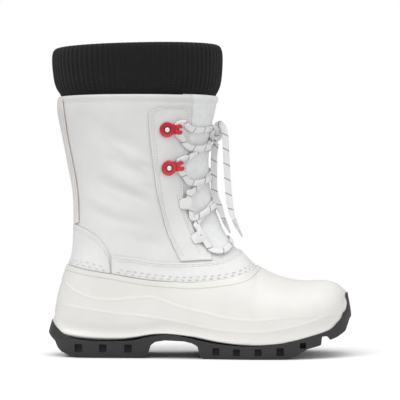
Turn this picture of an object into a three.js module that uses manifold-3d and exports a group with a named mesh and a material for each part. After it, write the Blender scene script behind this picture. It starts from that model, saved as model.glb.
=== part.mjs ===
// A tall lace-up winter boot for the right foot: a rubber outsole, a moulded rubber shell, a hollow
// upper with its leather band, counter, backstay and eyestays, a padded tongue, an insole, a rib-knit
// cuff, red lace hooks with rivets, webbing loops, and the lace.
// Frame: millimetres, +Z up from the floor, +X towards the toe, +Y towards the inner side of the foot.
// The origin lies on the floor under the middle of the boot's box.
import * as THREE from "three";
import { mergeVertices } from "three/addons/utils/BufferGeometryUtils.js";
import Module from "manifold-3d";

const wasm = await Module();
wasm.setup();

// Driving sizes
const WALL = 2;
const GAP = 0.3;
const SHELL_WALL = 2.7;
const SHELL_LIP = { proud: 0.7, high: 4.6 };
const LEATHER = 1.2;
const CUFF_TOP = 296;
const CUFF_TILT = { from: 250, over: 30, slope: 0.025, front: 15 };
const SHAFT_TOP = 246;
const CUFF_SKIRT = 226;
const INSOLE = 4.5;
const TONGUE_PAD = 4.2;
const LACE = { wide: 5.4, thick: 2.2, round: 3.2 };
// Where a strand climbs from the tongue onto the eyestays, as shares of its half width.
const LACE_CLIMB = { from: 0.4, to: 0.75 };
const SEGMENTS = 20;
const CUFF_SEGMENTS = 30;
const TONGUE_EDGE = 9;
// The upper's opening underneath: how far inside the sole's edge it lies, and how far it reaches.
const LASTING = { inset: 17, heel: -118, toe: 116, high: 26 };
const WIDE = 90;

// Sections of the last, from the toe to above the cuff. Each is a slanted cut: it runs from its bottom
// point (bx, bz) on the sole or heel side to its top point (tx, tz) on the instep or shin side. outer and
// inner are the half widths on the two sides, mid shifts the ridge sideways, wide is how far up the cut
// is widest, and low and top say how square it is below and above that (2 is an ellipse).
const SECTIONS = [
  { tx: 137.7, tz: 54.5, bx: 137.7, bz: 39.5, outer: 7, inner: 19, mid: 6, wide: 0.5, low: 2, top: 2 },
  { tx: 134.2, tz: 61.8, bx: 134.2, bz: 33.5, outer: 19, inner: 30, mid: 5.5, wide: 0.46, low: 2.1, top: 2.1 },
  { tx: 128, tz: 66.2, bx: 128, bz: 30.5, outer: 29, inner: 37.5, mid: 4.5, wide: 0.44, low: 2.4, top: 2.2 },
  { tx: 117, tz: 68.3, bx: 117, bz: 25, outer: 38.5, inner: 43, mid: 3, wide: 0.42, low: 2.8, top: 2.2 },
  { tx: 101, tz: 67.9, bx: 101, bz: 18, outer: 45.5, inner: 46, mid: 1, wide: 0.4, low: 3.2, top: 2.2 },
  { tx: 84, tz: 70.3, bx: 84, bz: 14.3, outer: 49.5, inner: 47.3, mid: -0.5, wide: 0.38, low: 3.6, top: 2.1 },
  { tx: 67, tz: 76, bx: 64, bz: 12.8, outer: 51, inner: 46.8, mid: -1, wide: 0.35, low: 3.8, top: 2 },
  { tx: 52, tz: 85, bx: 42, bz: 12.8, outer: 49.8, inner: 43.5, mid: -1.5, wide: 0.31, low: 3.8, top: 1.9 },
  { tx: 41, tz: 96.2, bx: 18, bz: 15.4, outer: 47, inner: 39, mid: -1.5, wide: 0.28, low: 3.8, top: 1.85 },
  { tx: 30.5, tz: 107, bx: -10, bz: 20.5, outer: 43, inner: 35, mid: -1, wide: 0.26, low: 3.6, top: 1.8 },
  { tx: 23, tz: 119, bx: -42, bz: 22.4, outer: 39.5, inner: 34.5, mid: -0.5, wide: 0.27, low: 3.4, top: 1.8 },
  { tx: 17.3, tz: 132, bx: -80, bz: 15.6, outer: 37.8, inner: 35.5, mid: 0, wide: 0.34, low: 3, top: 1.8 },
  { tx: 13.2, tz: 144, bx: -117, bz: 16.4, outer: 38, inner: 37, mid: 0, wide: 0.4, low: 2.7, top: 1.8 },
  { tx: 10.6, tz: 155, bx: -134, bz: 27.5, outer: 38.5, inner: 38, mid: 0, wide: 0.42, low: 2.5, top: 1.8 },
  { tx: 9.4, tz: 165, bx: -135, bz: 46, outer: 39.3, inner: 39, mid: 0, wide: 0.43, low: 2.4, top: 1.8 },
  { tx: 8.7, tz: 176, bx: -128.6, bz: 73.5, outer: 40.5, inner: 40.3, mid: 0, wide: 0.44, low: 2.3, top: 1.8 },
  { tx: 8.4, tz: 187, bx: -121.2, bz: 98, outer: 42, inner: 42, mid: 0, wide: 0.45, low: 2.2, top: 1.85 },
  { tx: 8.5, tz: 197, bx: -119.6, bz: 127, outer: 44, inner: 44, mid: 0, wide: 0.46, low: 2.2, top: 1.9 },
  { tx: 9.2, tz: 208, bx: -120.5, bz: 157, outer: 46.3, inner: 46.3, mid: 0, wide: 0.47, low: 2.2, top: 1.95 },
  { tx: 11.5, tz: 220, bx: -125.5, bz: 184, outer: 49, inner: 49, mid: 0, wide: 0.48, low: 2.2, top: 2 },
  { tx: 14.3, tz: 232, bx: -130.5, bz: 210, outer: 51.5, inner: 51.5, mid: 0, wide: 0.49, low: 2.2, top: 2.05 },
  { tx: 16.6, tz: 243, bx: -134.8, bz: 232, outer: 53.5, inner: 53.5, mid: 0, wide: 0.5, low: 2.2, top: 2.1 },
  { tx: 17.2, tz: 252, bx: -134.8, bz: 247, outer: 53.7, inner: 53.7, mid: 0, wide: 0.5, low: 2.2, top: 2.1 },
  { tx: 18, tz: 262, bx: -136.8, bz: 262, outer: 54, inner: 54, mid: 0, wide: 0.5, low: 2.2, top: 2.1 },
  { tx: 18, tz: 304, bx: -139, bz: 304, outer: 54, inner: 54, mid: 0, wide: 0.5, low: 2.2, top: 2.1 },
];
const TOE_TIP = new THREE.Vector3(138.8, 6.5, 46.5);
const LAST_FLAT = SECTIONS.length - 2;
const SHAFT_ROW = 18;
// Extra cuts between the rows, where the last turns fastest.
const BETWEEN = { first: 12, last: 14 };
const SKIPPED = [19, 23];
// Where a place on the side is looked for: the first row, and the steps along the last and round it.
const SEARCH = { from: 6, step: 0.25, turn: 0.05 };

// Sole, seen from above: how far the edge lies from the middle line on each side.
const SOLE_PLAN = [
  { x: -140.5, outer: 17.4, inner: 17.4 },
  { x: -130, outer: 29, inner: 29 },
  { x: -112, outer: 36, inner: 36 },
  { x: -84, outer: 38.4, inner: 37.6 },
  { x: -50, outer: 39.8, inner: 35 },
  { x: -22, outer: 43.8, inner: 35.8 },
  { x: 8, outer: 49, inner: 41 },
  { x: 38, outer: 53.5, inner: 48 },
  { x: 66, outer: 54.5, inner: 51 },
  { x: 92, outer: 51.3, inner: 50.8 },
  { x: 114, outer: 42.6, inner: 47.6 },
  { x: 130, outer: 30.5, inner: 40.5 },
  { x: 140.5, outer: 14, inner: 28 },
];
const SOLE_HEEL = { x: -145, y: 0 };
const SOLE_TOE = { x: 145, y: 7.5 };
const SOLE_STEPS = 40;
// How far the sole's side leans in from that plan at each height, at the heel and at the toe.
const SOLE_LEAN = [
  { z: 0, heel: 8, toe: 5 },
  { z: 5, heel: 6, toe: 3.5 },
  { z: 12.5, heel: 2.5, toe: 1.5 },
  { z: 19.5, heel: 0, toe: 0.5 },
  { z: 33, heel: 3.2, toe: 0 },
  { z: 42, heel: 6, toe: 0 },
  { z: 62, heel: 12, toe: 3.6 },
];

// Sole, seen from the side: the ground line with its lugs, then the top edge against the shell.
const GROUND_LINE = [
  [-145, 23], [-141, 19], [-137, 15.6], [-134.6, 9], [-131, 5], [-124, 2.4], [-113, 0.8], [-107, 0],
  [-52, 0], [-49, 3], [-46.5, 12], [-42, 15.6], [-33, 17.2], [-15, 16.6], [-7, 14.6], [-2.5, 12],
  [0, 3], [3, 0], [82, 0], [92, 4.6], [100, 9.6], [110, 12], [112.8, 13], [113.6, 20.9], [119.2, 20.9],
  [121.6, 17.2], [129.5, 20], [137.5, 24.5], [142.6, 35.6], [150, 40], [150, 60],
];
const SOLE_EDGE = [
  [138.8, 59.5], [136.2, 47.2], [133.2, 37.7], [128, 32.4], [123, 28], [114.6, 24.7], [90, 18.4],
  [70, 14.6], [45, 12.4],
  [22, 13.8], [5, 16.2], [-12, 20], [-27, 22.2], [-39, 21.8], [-51, 19.8], [-63, 17], [-82, 16],
  [-101, 16.3], [-118, 18.3], [-127, 22], [-135, 28], [-141.6, 34], [-150, 37],
];
// Square recesses in the sole's sides, and the grooves between the lugs underneath.
const RECESSES = [
  { x: -114, wide: 7, low: 5.2, high: 13 },
  { x: -91, wide: 7, low: 5.2, high: 13 },
  { x: -67.3, wide: 7, low: 5.2, high: 13 },
  { x: 14.8, wide: 6.4, low: 3.4, high: 10.6 },
  { x: 33.8, wide: 6.4, low: 3.2, high: 9.8 },
  { x: 53.8, wide: 6.4, low: 3.2, high: 9.8 },
  { x: 74.2, wide: 6.8, low: 3.4, high: 11 },
  { x: 95.3, wide: 6, low: 10.2, high: 15.6 },
];
const RECESS_DEPTH = 3.6;
const GROOVE = { wide: 5.4, deep: 4, edge: 8 };

// Lines on the side of the boot, as [x, z].
const SHELL_LINE = [
  [-160, 88], [-128, 86.6], [-106, 82.6], [-83, 79], [-48, 73], [-14, 70.4], [4, 70.8], [20, 72.4],
  [37, 75.4], [46, 78.6], [52.5, 83.4], [57, 88], [62, 93],
];
const COUNTER_LINE = [[-119, 126], [-113, 122.6], [-105, 119], [-95, 112.5], [-87.5, 103], [-84.4, 93]];
const BAND_SEAM = [[-81.6, 96.4], [-63, 94], [-44, 90.4], [-18, 89], [5, 89.2], [23, 92], [34, 98], [45, 112]];
const THROAT_EDGE = [[-8, 233], [-10.6, 206], [-16.4, 157], [-11, 134], [-5.5, 118.6], [1, 107], [10, 101.6]];
const EYESTAY_REAR = [
  [-44.2, 231.6], [-47.6, 227], [-46.7, 210], [-44.4, 189], [-42, 169], [-40, 154], [-35.6, 136],
  [-31, 118.6], [-25, 104.5], [-19.4, 92.6],
];
const BACKSTAY_EDGE = [[-129, 245], [-124.5, 210], [-119.5, 184], [-115, 157], [-113.6, 127]];

// Lace hooks and loops on the eyestay: place on the side of the boot and tilt, for both sides.
const HOOKS = [
  { name: "top", x: -31.3, z: 213.5, tilt: 2 },
  { name: "low", x: -29.9, z: 178, tilt: 11 },
];
const HOOK = { head: 7, reach: 13.2, neck: 4.3, prong: 4.8, slot: 1.1, plate: 1.3, rise: 3 };
const RIVET = { r: 2.1, rim: 0.6, high: 1.2 };
const LOOPS = [
  { name: "upper", x: -14, z: 145, tilt: 8 },
  { name: "lower", x: -1.6, z: 112.6, tilt: 30 },
];
const LOOP = { wide: 13, long: 13, thick: 1, open: 2.9 };

// Lace over the tongue, top to bottom: the place near the middle of the front where it lies, seen from
// the outer side, and the places where its strands end. A crossing has two strands, a bar has one.
const CROSSINGS = [
  { name: "top", over: { x: 2.4, z: 197.5 }, high: { x: -17.8, z: 205.6 }, low: { x: -14.4, z: 188.4 } },
  { name: "mid", over: { x: 4, z: 167 }, high: { x: -15.8, z: 170.6 }, low: { x: -12.6, z: 157 } },
  { name: "low", over: { x: 5, z: 137 }, high: { x: -8.8, z: 133.8 }, low: { x: -3.8, z: 123.6 } },
];
const BARS = [
  { name: "top", over: { x: 6.5, z: 215 }, end: { x: -16, z: 221 } },
  { name: "low", over: { x: 28, z: 105 }, end: { x: 8.6, z: 101 } },
];
// The knot and the free ends of the lace, whose routes are points as [x, y, z].
const KNOT = { x: 15.8, y: -3, z: 211, rx: 4.6, ry: 8, rz: 6.6 };
const LACE_END_OUTER = [
  [16.2, -5.6, 219], [19, -8.8, 220.4], [22.2, -11.4, 217], [23.8, -12.6, 209], [24.4, -13, 199],
  [24.9, -13, 190], [25.4, -13, 181], [26, -13, 171], [26.7, -13, 161], [27.5, -12.8, 151],
  [28.8, -12.6, 142], [31, -12.4, 133], [34.6, -12.2, 124], [40.2, -12, 113.4],
];
const LACE_END_INNER = [
  [15.6, -0.4, 202.4], [14.4, -1, 197], [13.6, -2, 190], [13.4, -2.6, 180], [13.4, -3, 170],
  [13.5, -3.4, 160], [15, -4, 151], [18.2, -5, 142.6], [21, -6, 134], [24.6, -6.6, 125],
  [28.6, -7, 116.6],
];

// Colours
const LOOK = {
  rubber: { color: "#3e3e42", roughness: 0.7, metalness: 0 },
  shell: { color: "#ece9e4", roughness: 0.5, metalness: 0 },
  nylon: { color: "#e4e4e2", roughness: 0.55, metalness: 0 },
  leather: { color: "#e9e9e7", roughness: 0.6, metalness: 0 },
  tongue: { color: "#e6e6e6", roughness: 0.7, metalness: 0 },
  knit: { color: "#212122", roughness: 0.95, metalness: 0 },
  insole: { color: "#55565a", roughness: 0.95, metalness: 0 },
  hook: { color: "#be2837", roughness: 0.35, metalness: 0.3 },
  rivet: { color: "#ebebe1", roughness: 0.4, metalness: 0.4 },
  lace: { color: "#e8e8e6", roughness: 0.8, metalness: 0 },
};

// Solids and meshes
function volumeOf(position, index) {
  const p = [0, 1, 2].map(() => new THREE.Vector3());
  let sum = 0;
  for (let i = 0; i < index.length; i += 3) {
    p.forEach((v, k) => v.fromArray(position, index[i + k] * 3));
    sum += p[0].dot(p[1].clone().cross(p[2]));
  }
  return sum / 6;
}

// A closed surface as a solid, whichever way its faces were wound.
function solid(geometry) {
  const bare = geometry.clone();
  bare.deleteAttribute("normal");
  bare.deleteAttribute("uv");
  const merged = mergeVertices(bare, 1e-3);
  const vertProperties = new Float32Array(merged.attributes.position.array);
  const triVerts = new Uint32Array(merged.index.array);
  if (volumeOf(vertProperties, triVerts) < 0) {
    for (let i = 0; i < triVerts.length; i += 3) {
      [triVerts[i + 1], triVerts[i + 2]] = [triVerts[i + 2], triVerts[i + 1]];
    }
  }
  return new wasm.Manifold(new wasm.Mesh({ numProp: 3, vertProperties, triVerts }));
}

function geometryOf(made) {
  const mesh = made.getMesh();
  return new THREE.BufferGeometry()
    .setAttribute("position", new THREE.BufferAttribute(mesh.vertProperties, 3))
    .setIndex(new THREE.BufferAttribute(mesh.triVerts, 1))
    .toNonIndexed();
}

// The largest body of a solid: a boolean can leave a sliver beside it.
function largest(made) {
  return made.decompose().reduce((best, body) => (body.volume() > best.volume() ? body : best));
}

// Rings of points joined one to the next. Ends are closed by a middle point, or by one given.
function loftGeometry(rings, ends = [null, null]) {
  const count = rings[0].length;
  const points = rings.flat();
  const index = [];
  for (let i = 0; i + 1 < rings.length; i++) {
    for (let j = 0; j < count; j++) {
      const [a, b] = [i * count + j, i * count + ((j + 1) % count)];
      index.push(a, b, b + count, a, b + count, a + count);
    }
  }
  [0, rings.length - 1].forEach((at, end) => {
    const middle = new THREE.Vector3();
    rings[at].forEach((p) => middle.addScaledVector(p, 1 / count));
    points.push(ends[end] ?? middle);
    for (let j = 0; j < count; j++) {
      const [a, b] = [at * count + j, at * count + ((j + 1) % count)];
      index.push(...(end === 0 ? [b, a] : [a, b]), points.length - 1);
    }
  });
  const geometry = new THREE.BufferGeometry().setFromPoints(points);
  geometry.setIndex(index);
  return geometry;
}

// Rings joined round to the first again, as the wall of a tube does.
function hoopGeometry(rings) {
  const count = rings[0].length;
  const index = [];
  rings.forEach((_, i) => {
    const next = ((i + 1) % rings.length) * count;
    for (let j = 0; j < count; j++) {
      const k = (j + 1) % count;
      index.push(i * count + j, i * count + k, next + k, i * count + j, next + k, next + j);
    }
  });
  const geometry = new THREE.BufferGeometry().setFromPoints(rings.flat());
  geometry.setIndex(index);
  return geometry;
}

// The last
function blend(rows, key, at) {
  const i = Math.min(Math.floor(at), rows.length - 2);
  const t = at - i;
  const [a, b, c, d] = [i - 1, i, i + 1, i + 2].map(
    (k) => rows[THREE.MathUtils.clamp(k, 0, rows.length - 1)][key],
  );
  return b + 0.5 * t * (c - a + t * (2 * a - 5 * b + 4 * c - d + t * (3 * (b - c) + d - a)));
}

function lastPoint(at, angle) {
  const cut = Object.fromEntries(Object.keys(SECTIONS[0]).map((key) => [key, blend(SECTIONS, key, at)]));
  const [c, s] = [Math.cos(angle), Math.sin(angle)];
  const square = 2 / (c > 0 ? cut.top : cut.low);
  const up = cut.wide + Math.sign(c) * Math.abs(c) ** square * (c > 0 ? 1 - cut.wide : cut.wide);
  const out = Math.abs(s) ** square * (s > 0 ? cut.inner - cut.mid : -(cut.outer + cut.mid));
  return new THREE.Vector3(
    THREE.MathUtils.lerp(cut.bx, cut.tx, up),
    cut.mid + out,
    THREE.MathUtils.lerp(cut.bz, cut.tz, up),
  );
}

// The point that lies d outside the last, at a place along it and an angle round it.
function skinPoint(at, angle, d) {
  const [ds, da] = [0.02, 0.02];
  const end = SECTIONS.length - 1;
  const along = lastPoint(Math.min(at + ds, end), angle).sub(lastPoint(Math.max(at - ds, 0), angle));
  const round = lastPoint(at, angle + da).sub(lastPoint(at, angle - da));
  const normal = round.cross(along).normalize();
  if (at >= LAST_FLAT) normal.setZ(0).normalize();
  return lastPoint(at, angle).addScaledVector(normal, d);
}

function skinNormal(at, angle) {
  return skinPoint(at, angle, 1).sub(skinPoint(at, angle, 0));
}

const PLACES = SECTIONS.flatMap((_, i) => {
  if (SKIPPED.includes(i)) return [];
  return i >= BETWEEN.first && i < BETWEEN.last ? [i, i + 0.5] : [i];
});

function ringAt(at, d) {
  return Array.from({ length: SEGMENTS }, (_, j) => skinPoint(at, (2 * Math.PI * j) / SEGMENTS, d));
}

// The last as a closed solid, made larger or smaller by d all over.
function form(d) {
  const tip = TOE_TIP.clone().setX(TOE_TIP.x + d);
  return solid(loftGeometry(PLACES.map((at) => ringAt(at, d)), [tip, null]));
}

// How far along the last it reaches a height, at an angle round the shaft.
function heightAt(z, angle) {
  let [low, high] = [SHAFT_ROW, SECTIONS.length - 1];
  while (high - low > 1e-6) {
    const middle = (low + high) / 2;
    if (lastPoint(middle, angle).z < z) low = middle;
    else high = middle;
  }
  return low;
}

// The place on the last that shows at x, z from the side given: -1 is the outer side, 1 the inner.
function placeAt(x, z, side) {
  let best = { off: Infinity };
  for (let at = SEARCH.from; at <= LAST_FLAT; at += SEARCH.step) {
    for (let angle = SEARCH.turn; angle < Math.PI; angle += SEARCH.turn) {
      const p = lastPoint(at, side * angle);
      const off = Math.hypot(p.x - x, p.z - z);
      if (off < best.off) best = { off, at, angle };
    }
  }
  for (let step = SEARCH.step / 2; step > 1e-4; step *= 0.6) {
    for (const [du, dv] of [[step, 0], [-step, 0], [0, step / 4], [0, -step / 4]]) {
      const p = lastPoint(best.at + du, side * (best.angle + dv));
      const off = Math.hypot(p.x - x, p.z - z);
      if (off < best.off) best = { off, at: best.at + du, angle: best.angle + dv };
    }
  }
  return { at: best.at, angle: side * best.angle };
}

// A block with the outline given from the side, across the boot from y = from to y = to.
function sideBlock(outline, from = -WIDE, to = WIDE) {
  const shape = new THREE.Shape(outline.map(([x, z]) => new THREE.Vector2(x, z)));
  const geometry = new THREE.ExtrudeGeometry(shape, { depth: to - from, bevelEnabled: false });
  return solid(geometry.rotateX(Math.PI / 2).translate(0, to, 0));
}

// A line from the side, moved by a distance to its left as it runs.
function moved(points, by) {
  return points.map(([x, z], i) => {
    const [a, b] = [points[Math.max(i - 1, 0)], points[Math.min(i + 1, points.length - 1)]];
    const run = Math.hypot(b[0] - a[0], b[1] - a[1]);
    return [x - (by * (b[1] - a[1])) / run, z + (by * (b[0] - a[0])) / run];
  });
}

// Sole
function solePlan(inset) {
  const outer = SOLE_PLAN.map(({ x, outer: y }) => new THREE.Vector3(x, -y, 0));
  const inner = SOLE_PLAN.map(({ x, inner: y }) => new THREE.Vector3(x, y, 0)).reverse();
  const heel = new THREE.Vector3(SOLE_HEEL.x, SOLE_HEEL.y, 0);
  const toe = new THREE.Vector3(SOLE_TOE.x, SOLE_TOE.y, 0);
  const curve = new THREE.CatmullRomCurve3([heel, ...outer, toe, ...inner], true, "centripetal");
  return Array.from({ length: SOLE_STEPS }, (_, i) => {
    const p = curve.getPointAt(i / SOLE_STEPS);
    const along = curve.getTangentAt(i / SOLE_STEPS);
    return p.add(new THREE.Vector3(-along.y, along.x, 0).multiplyScalar(inset(p.x)));
  });
}

// The sole's plan, drawn in by a distance, as a block up to a height.
function soleCore(inset, high) {
  return solid(loftGeometry([-5, high].map((z) => solePlan(() => inset).map((p) => p.setZ(z)))));
}

function makeOutsole() {
  const rings = SOLE_LEAN.map(({ z, heel, toe }) => {
    const inset = (x) => THREE.MathUtils.mapLinear(x, SOLE_HEEL.x, SOLE_TOE.x, heel, toe);
    return solePlan(inset).map((p) => p.setZ(z));
  });
  let sole = solid(loftGeometry(rings)).intersect(sideBlock([...GROUND_LINE, ...SOLE_EDGE]));
  sole = sole.subtract(form(SHELL_WALL + 2 * GAP));
  const core = soleCore(RECESS_DEPTH + 2.2, 30);
  for (const { x, wide, low, high } of RECESSES) {
    const [left, right] = [x - wide / 2, x + wide / 2];
    const pocket = sideBlock([[left, low], [right, low], [right, high], [left, high]]);
    sole = sole.subtract(pocket.subtract(core));
  }
  const { wide, deep, edge } = GROOVE;
  const tread = soleCore(edge, deep);
  for (const { x } of RECESSES.slice(0, -1)) {
    const [left, right] = [x - wide / 2, x + wide / 2];
    const groove = sideBlock([[left, -1], [right, -1], [right - 1, deep + 1], [left + 1, deep + 1]]);
    sole = sole.subtract(groove.intersect(tread));
  }
  return largest(sole);
}

// Shell, upper and what is sewn on it
const forms = {
  shellOut: form(SHELL_WALL + GAP),
  lipOut: form(SHELL_WALL + GAP + SHELL_LIP.proud),
  shellIn: form(GAP),
  overlayOut: form(LEATHER + GAP),
  upper: form(0),
  lining: form(-WALL),
  underLining: form(-WALL - GAP),
  tongueFace: form(-GAP),
  tongueBack: form(-WALL - GAP - TONGUE_PAD),
};

const shellEdge = (rise) => SHELL_LINE.map(([x, z]) => [x, z + rise]);
const shellBelow = (drop) => [...shellEdge(-drop), [160, 93], [160, -5], [-160, -5]];
const shellAbove = (rise) => [...shellEdge(rise), [160, 93], [160, 320], [-160, 320]];

function makeShell() {
  const lipBand = sideBlock(shellBelow(0)).subtract(sideBlock(shellBelow(SHELL_LIP.high)));
  return largest(
    forms.shellOut
      .intersect(sideBlock(shellBelow(0)))
      .add(forms.lipOut.intersect(lipBand))
      .subtract(forms.shellIn),
  );
}

// The throat, moved inwards by a distance, and the part of the front that the tongue fills.
function throatOutline(inset) {
  const edge = moved(THROAT_EDGE, inset);
  return [...edge, [22, 100.2 + inset], [33, 103.4 + inset], [60, 116 + inset], [60, 320], [-6 + inset, 320]];
}

function makeUpper() {
  const { inset, heel, toe, high } = LASTING;
  const bottom = soleCore(inset, high);
  const foot = sideBlock([[heel, -5], [toe, -5], [toe, high], [heel, high]]);
  return largest(
    forms.upper
      .subtract(forms.lining)
      .intersect(sideBlock([[-160, -5], [160, -5], [160, 120], [60, SHAFT_TOP], [-160, SHAFT_TOP]]))
      .subtract(sideBlock(throatOutline(0)))
      .subtract(bottom.intersect(foot)),
  );
}

const overlayForm = forms.overlayOut.subtract(forms.shellIn);

// A leather panel on the upper, with its outline seen from the side.
function overlay(outline, from = -WIDE, to = WIDE) {
  return largest(overlayForm.intersect(sideBlock(outline, from, to)));
}

function makeBand() {
  const outline = [...BAND_SEAM, [70, 60], [BAND_SEAM[0][0], 60]];
  return largest(overlayForm.intersect(sideBlock(outline)).intersect(sideBlock(shellAbove(GAP))));
}

function makeEyestay(side) {
  const foot = BAND_SEAM[3][1] + GAP + 0.4;
  const outline = [...EYESTAY_REAR, [-17.4, foot], [11, foot + 0.8], ...[...THROAT_EDGE].reverse()];
  const span = side < 0 ? [-WIDE, 0] : [0, WIDE];
  return overlay([...outline, [-12.4, 234.4], [-40, 234.4]], ...span);
}

function makeCounter() {
  const outline = [...COUNTER_LINE, [-82.4, 60], [-160, 60], [-160, 126]];
  return largest(overlayForm.intersect(sideBlock(outline)).intersect(sideBlock(shellAbove(GAP))));
}

function makeBackstay() {
  const foot = COUNTER_LINE[0][1] + GAP;
  const outline = [...BACKSTAY_EDGE, [BACKSTAY_EDGE.at(-1)[0], foot], [-160, foot]];
  return overlay([...outline, [-160, SHAFT_TOP - 1]]);
}

// The tongue's block seen from the side: its pad reaches behind the throat's edge by a distance.
function tongueOutline(behind, top) {
  const edge = moved(THROAT_EDGE, -behind);
  return [...edge, [24, 92 - behind / 9], [60, 104], [60, top], [-8 - behind, top]];
}

function makeTongue() {
  const pad = forms.underLining
    .subtract(forms.tongueBack)
    .intersect(sideBlock(tongueOutline(TONGUE_EDGE, SHAFT_TOP)));
  const face = forms.tongueFace
    .subtract(forms.tongueBack)
    .intersect(sideBlock(throatOutline(1)))
    .intersect(sideBlock([[-60, -5], [160, -5], [160, SHAFT_TOP], [-60, SHAFT_TOP]]));
  return largest(pad.add(face));
}

function makeInsole() {
  const rise = WALL + GAP + INSOLE;
  const floor = SECTIONS.slice(2, 13).map(({ bx, bz }) => [bx, bz + rise]);
  const outline = [...floor, [-140, 27], [-140, -5], [128, -5]];
  return largest(forms.underLining.intersect(sideBlock(outline)));
}

// Cuff: its wall as a profile of height and distance outside the last, inside skirt first.
function makeCuff() {
  const wall = [
    { z: CUFF_SKIRT, d: -WALL / 2 },
    { z: SHAFT_TOP + GAP, d: -WALL / 2 },
    { z: SHAFT_TOP + 5, d: 0 },
    { z: 262, d: 2.4 },
    { z: CUFF_TOP - 11, d: 3.4 },
    { z: CUFF_TOP - 2.5, d: 2.2 },
    { z: CUFF_TOP, d: -2 },
    { z: CUFF_TOP - 2, d: -7 },
    { z: CUFF_TOP - 9, d: -9 },
    { z: CUFF_SKIRT, d: -9.6 },
  ];
  const rings = wall.map(({ z, d }) => cuffRing(z, d));
  const insideShaft = forms.upper
    .subtract(forms.underLining)
    .intersect(sideBlock([[-160, 200], [60, 200], [60, SHAFT_TOP + 2 * GAP], [-160, SHAFT_TOP + 2 * GAP]]));
  const besideTongue = forms.upper
    .subtract(form(-WALL - 2 * GAP - TONGUE_PAD))
    .intersect(sideBlock(tongueOutline(TONGUE_EDGE + 2 * GAP, SHAFT_TOP + 2 * GAP)));
  return largest(solid(hoopGeometry(rings)).subtract(insideShaft).subtract(besideTongue));
}

function cuffRing(z, d) {
  return Array.from({ length: CUFF_SEGMENTS }, (_, j) => {
    const angle = (2 * Math.PI * j) / CUFF_SEGMENTS;
    const p = skinPoint(heightAt(z, angle), angle, d);
    const tilted = THREE.MathUtils.clamp((z - CUFF_TILT.from) / CUFF_TILT.over, 0, 1);
    return p.setZ(z + CUFF_TILT.slope * (p.x - CUFF_TILT.front) * tilted);
  });
}

// Hooks, rivets and loops
function seatOf(x, z, side, d) {
  const { at, angle } = placeAt(x, z, side);
  const out = skinNormal(at, angle);
  const forward = new THREE.Vector3(1, 0, 0).addScaledVector(out, -out.x).normalize();
  const up = new THREE.Vector3().crossVectors(out, forward);
  const seat = new THREE.Group();
  seat.position.copy(skinPoint(at, angle, d));
  seat.quaternion.setFromRotationMatrix(new THREE.Matrix4().makeBasis(forward, up, out));
  seat.updateMatrixWorld(true);
  return seat;
}

function shapeOf(points) {
  return new THREE.Shape(points.map(([x, y]) => new THREE.Vector2(x, y)));
}

function plate(shape, thick, z = 0) {
  const geometry = new THREE.ExtrudeGeometry(shape, { depth: thick, bevelEnabled: false, curveSegments: 5 });
  return geometry.translate(0, 0, z);
}

function makeHook() {
  const { head, reach, neck, prong, slot, plate: thick, rise } = HOOK;
  const round = new THREE.Shape().absarc(0, 0, head, 0, 2 * Math.PI);
  const [heel, root, fillet] = [head - 0.6, head + 3.4, 1.4];
  const taper = shapeOf([[1.6, -head + 0.3], [heel + 2.4, -neck], [heel + 2.4, neck], [1.6, head - 0.3]]);
  const riser = shapeOf([[heel, -neck], [heel + 2.4, -neck], [heel + 2.4, neck], [heel, neck]]);
  const lower = [[heel, -neck], [reach - 2, -prong], [reach, -prong + fillet], [reach, -slot]];
  const upper = lower.map(([x, y]) => [x, -y]).reverse();
  const fork = shapeOf([...lower, [root, 0.6 - slot], [root, slot - 0.6], ...upper]);
  const hole = new THREE.CylinderGeometry(RIVET.r, RIVET.r, 8, 8).rotateX(Math.PI / 2);
  return solid(plate(round, thick))
    .add(solid(plate(taper, thick)))
    .add(solid(plate(riser, rise + thick * 2)))
    .add(solid(plate(fork, thick, rise + thick)))
    .subtract(solid(hole));
}

function rivetGeometry() {
  const { r, rim, high } = RIVET;
  const profile = [
    [0, 0], [r - GAP, 0], [r - GAP, HOOK.plate + GAP], [r + rim, HOOK.plate + GAP],
    [r + rim, HOOK.plate + 0.7], [r, HOOK.plate + high], [r / 2, HOOK.plate + high + 0.4],
    [0, HOOK.plate + high + 0.5],
  ];
  return new THREE.LatheGeometry(profile.map(([x, y]) => new THREE.Vector2(x, y)), 8).rotateX(Math.PI / 2);
}

function makeLoop() {
  const { wide, long, thick, open } = LOOP;
  const [end, top] = [long / 2, open + 2 * thick];
  const section = shapeOf([
    [-end, 0], [end - 2, 0], [end, thick + 1], [end, open + thick], [end - 2, top], [-1, top],
    [-end, 2 * thick],
  ]);
  const tunnel = [
    [0.5, thick], [end - 2.4, thick], [end - thick, thick + 1.6], [end - thick, open + thick - 0.6],
    [end - 2.6, open + thick], [1, open + thick],
  ];
  section.holes.push(new THREE.Path(tunnel.map(([x, y]) => new THREE.Vector2(x, y))));
  return new THREE.ExtrudeGeometry(section, { depth: wide, bevelEnabled: false })
    .rotateX(Math.PI / 2)
    .translate(0, wide / 2, 0);
}

// Lace
function laceEnd(points) {
  const path = new THREE.CatmullRomCurve3(points.map((p) => new THREE.Vector3(...p)));
  const sides = 8;
  const section = new THREE.Shape(
    Array.from({ length: sides }, (_, i) => {
      const a = (2 * Math.PI * i) / sides;
      return new THREE.Vector2((LACE.round / 2) * Math.cos(a), (LACE.round / 2) * Math.sin(a));
    }),
  );
  const steps = Math.round(path.getLength() / (2.5 * LACE.round));
  return new THREE.ExtrudeGeometry(section, { extrudePath: path, steps, bevelEnabled: false });
}

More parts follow.
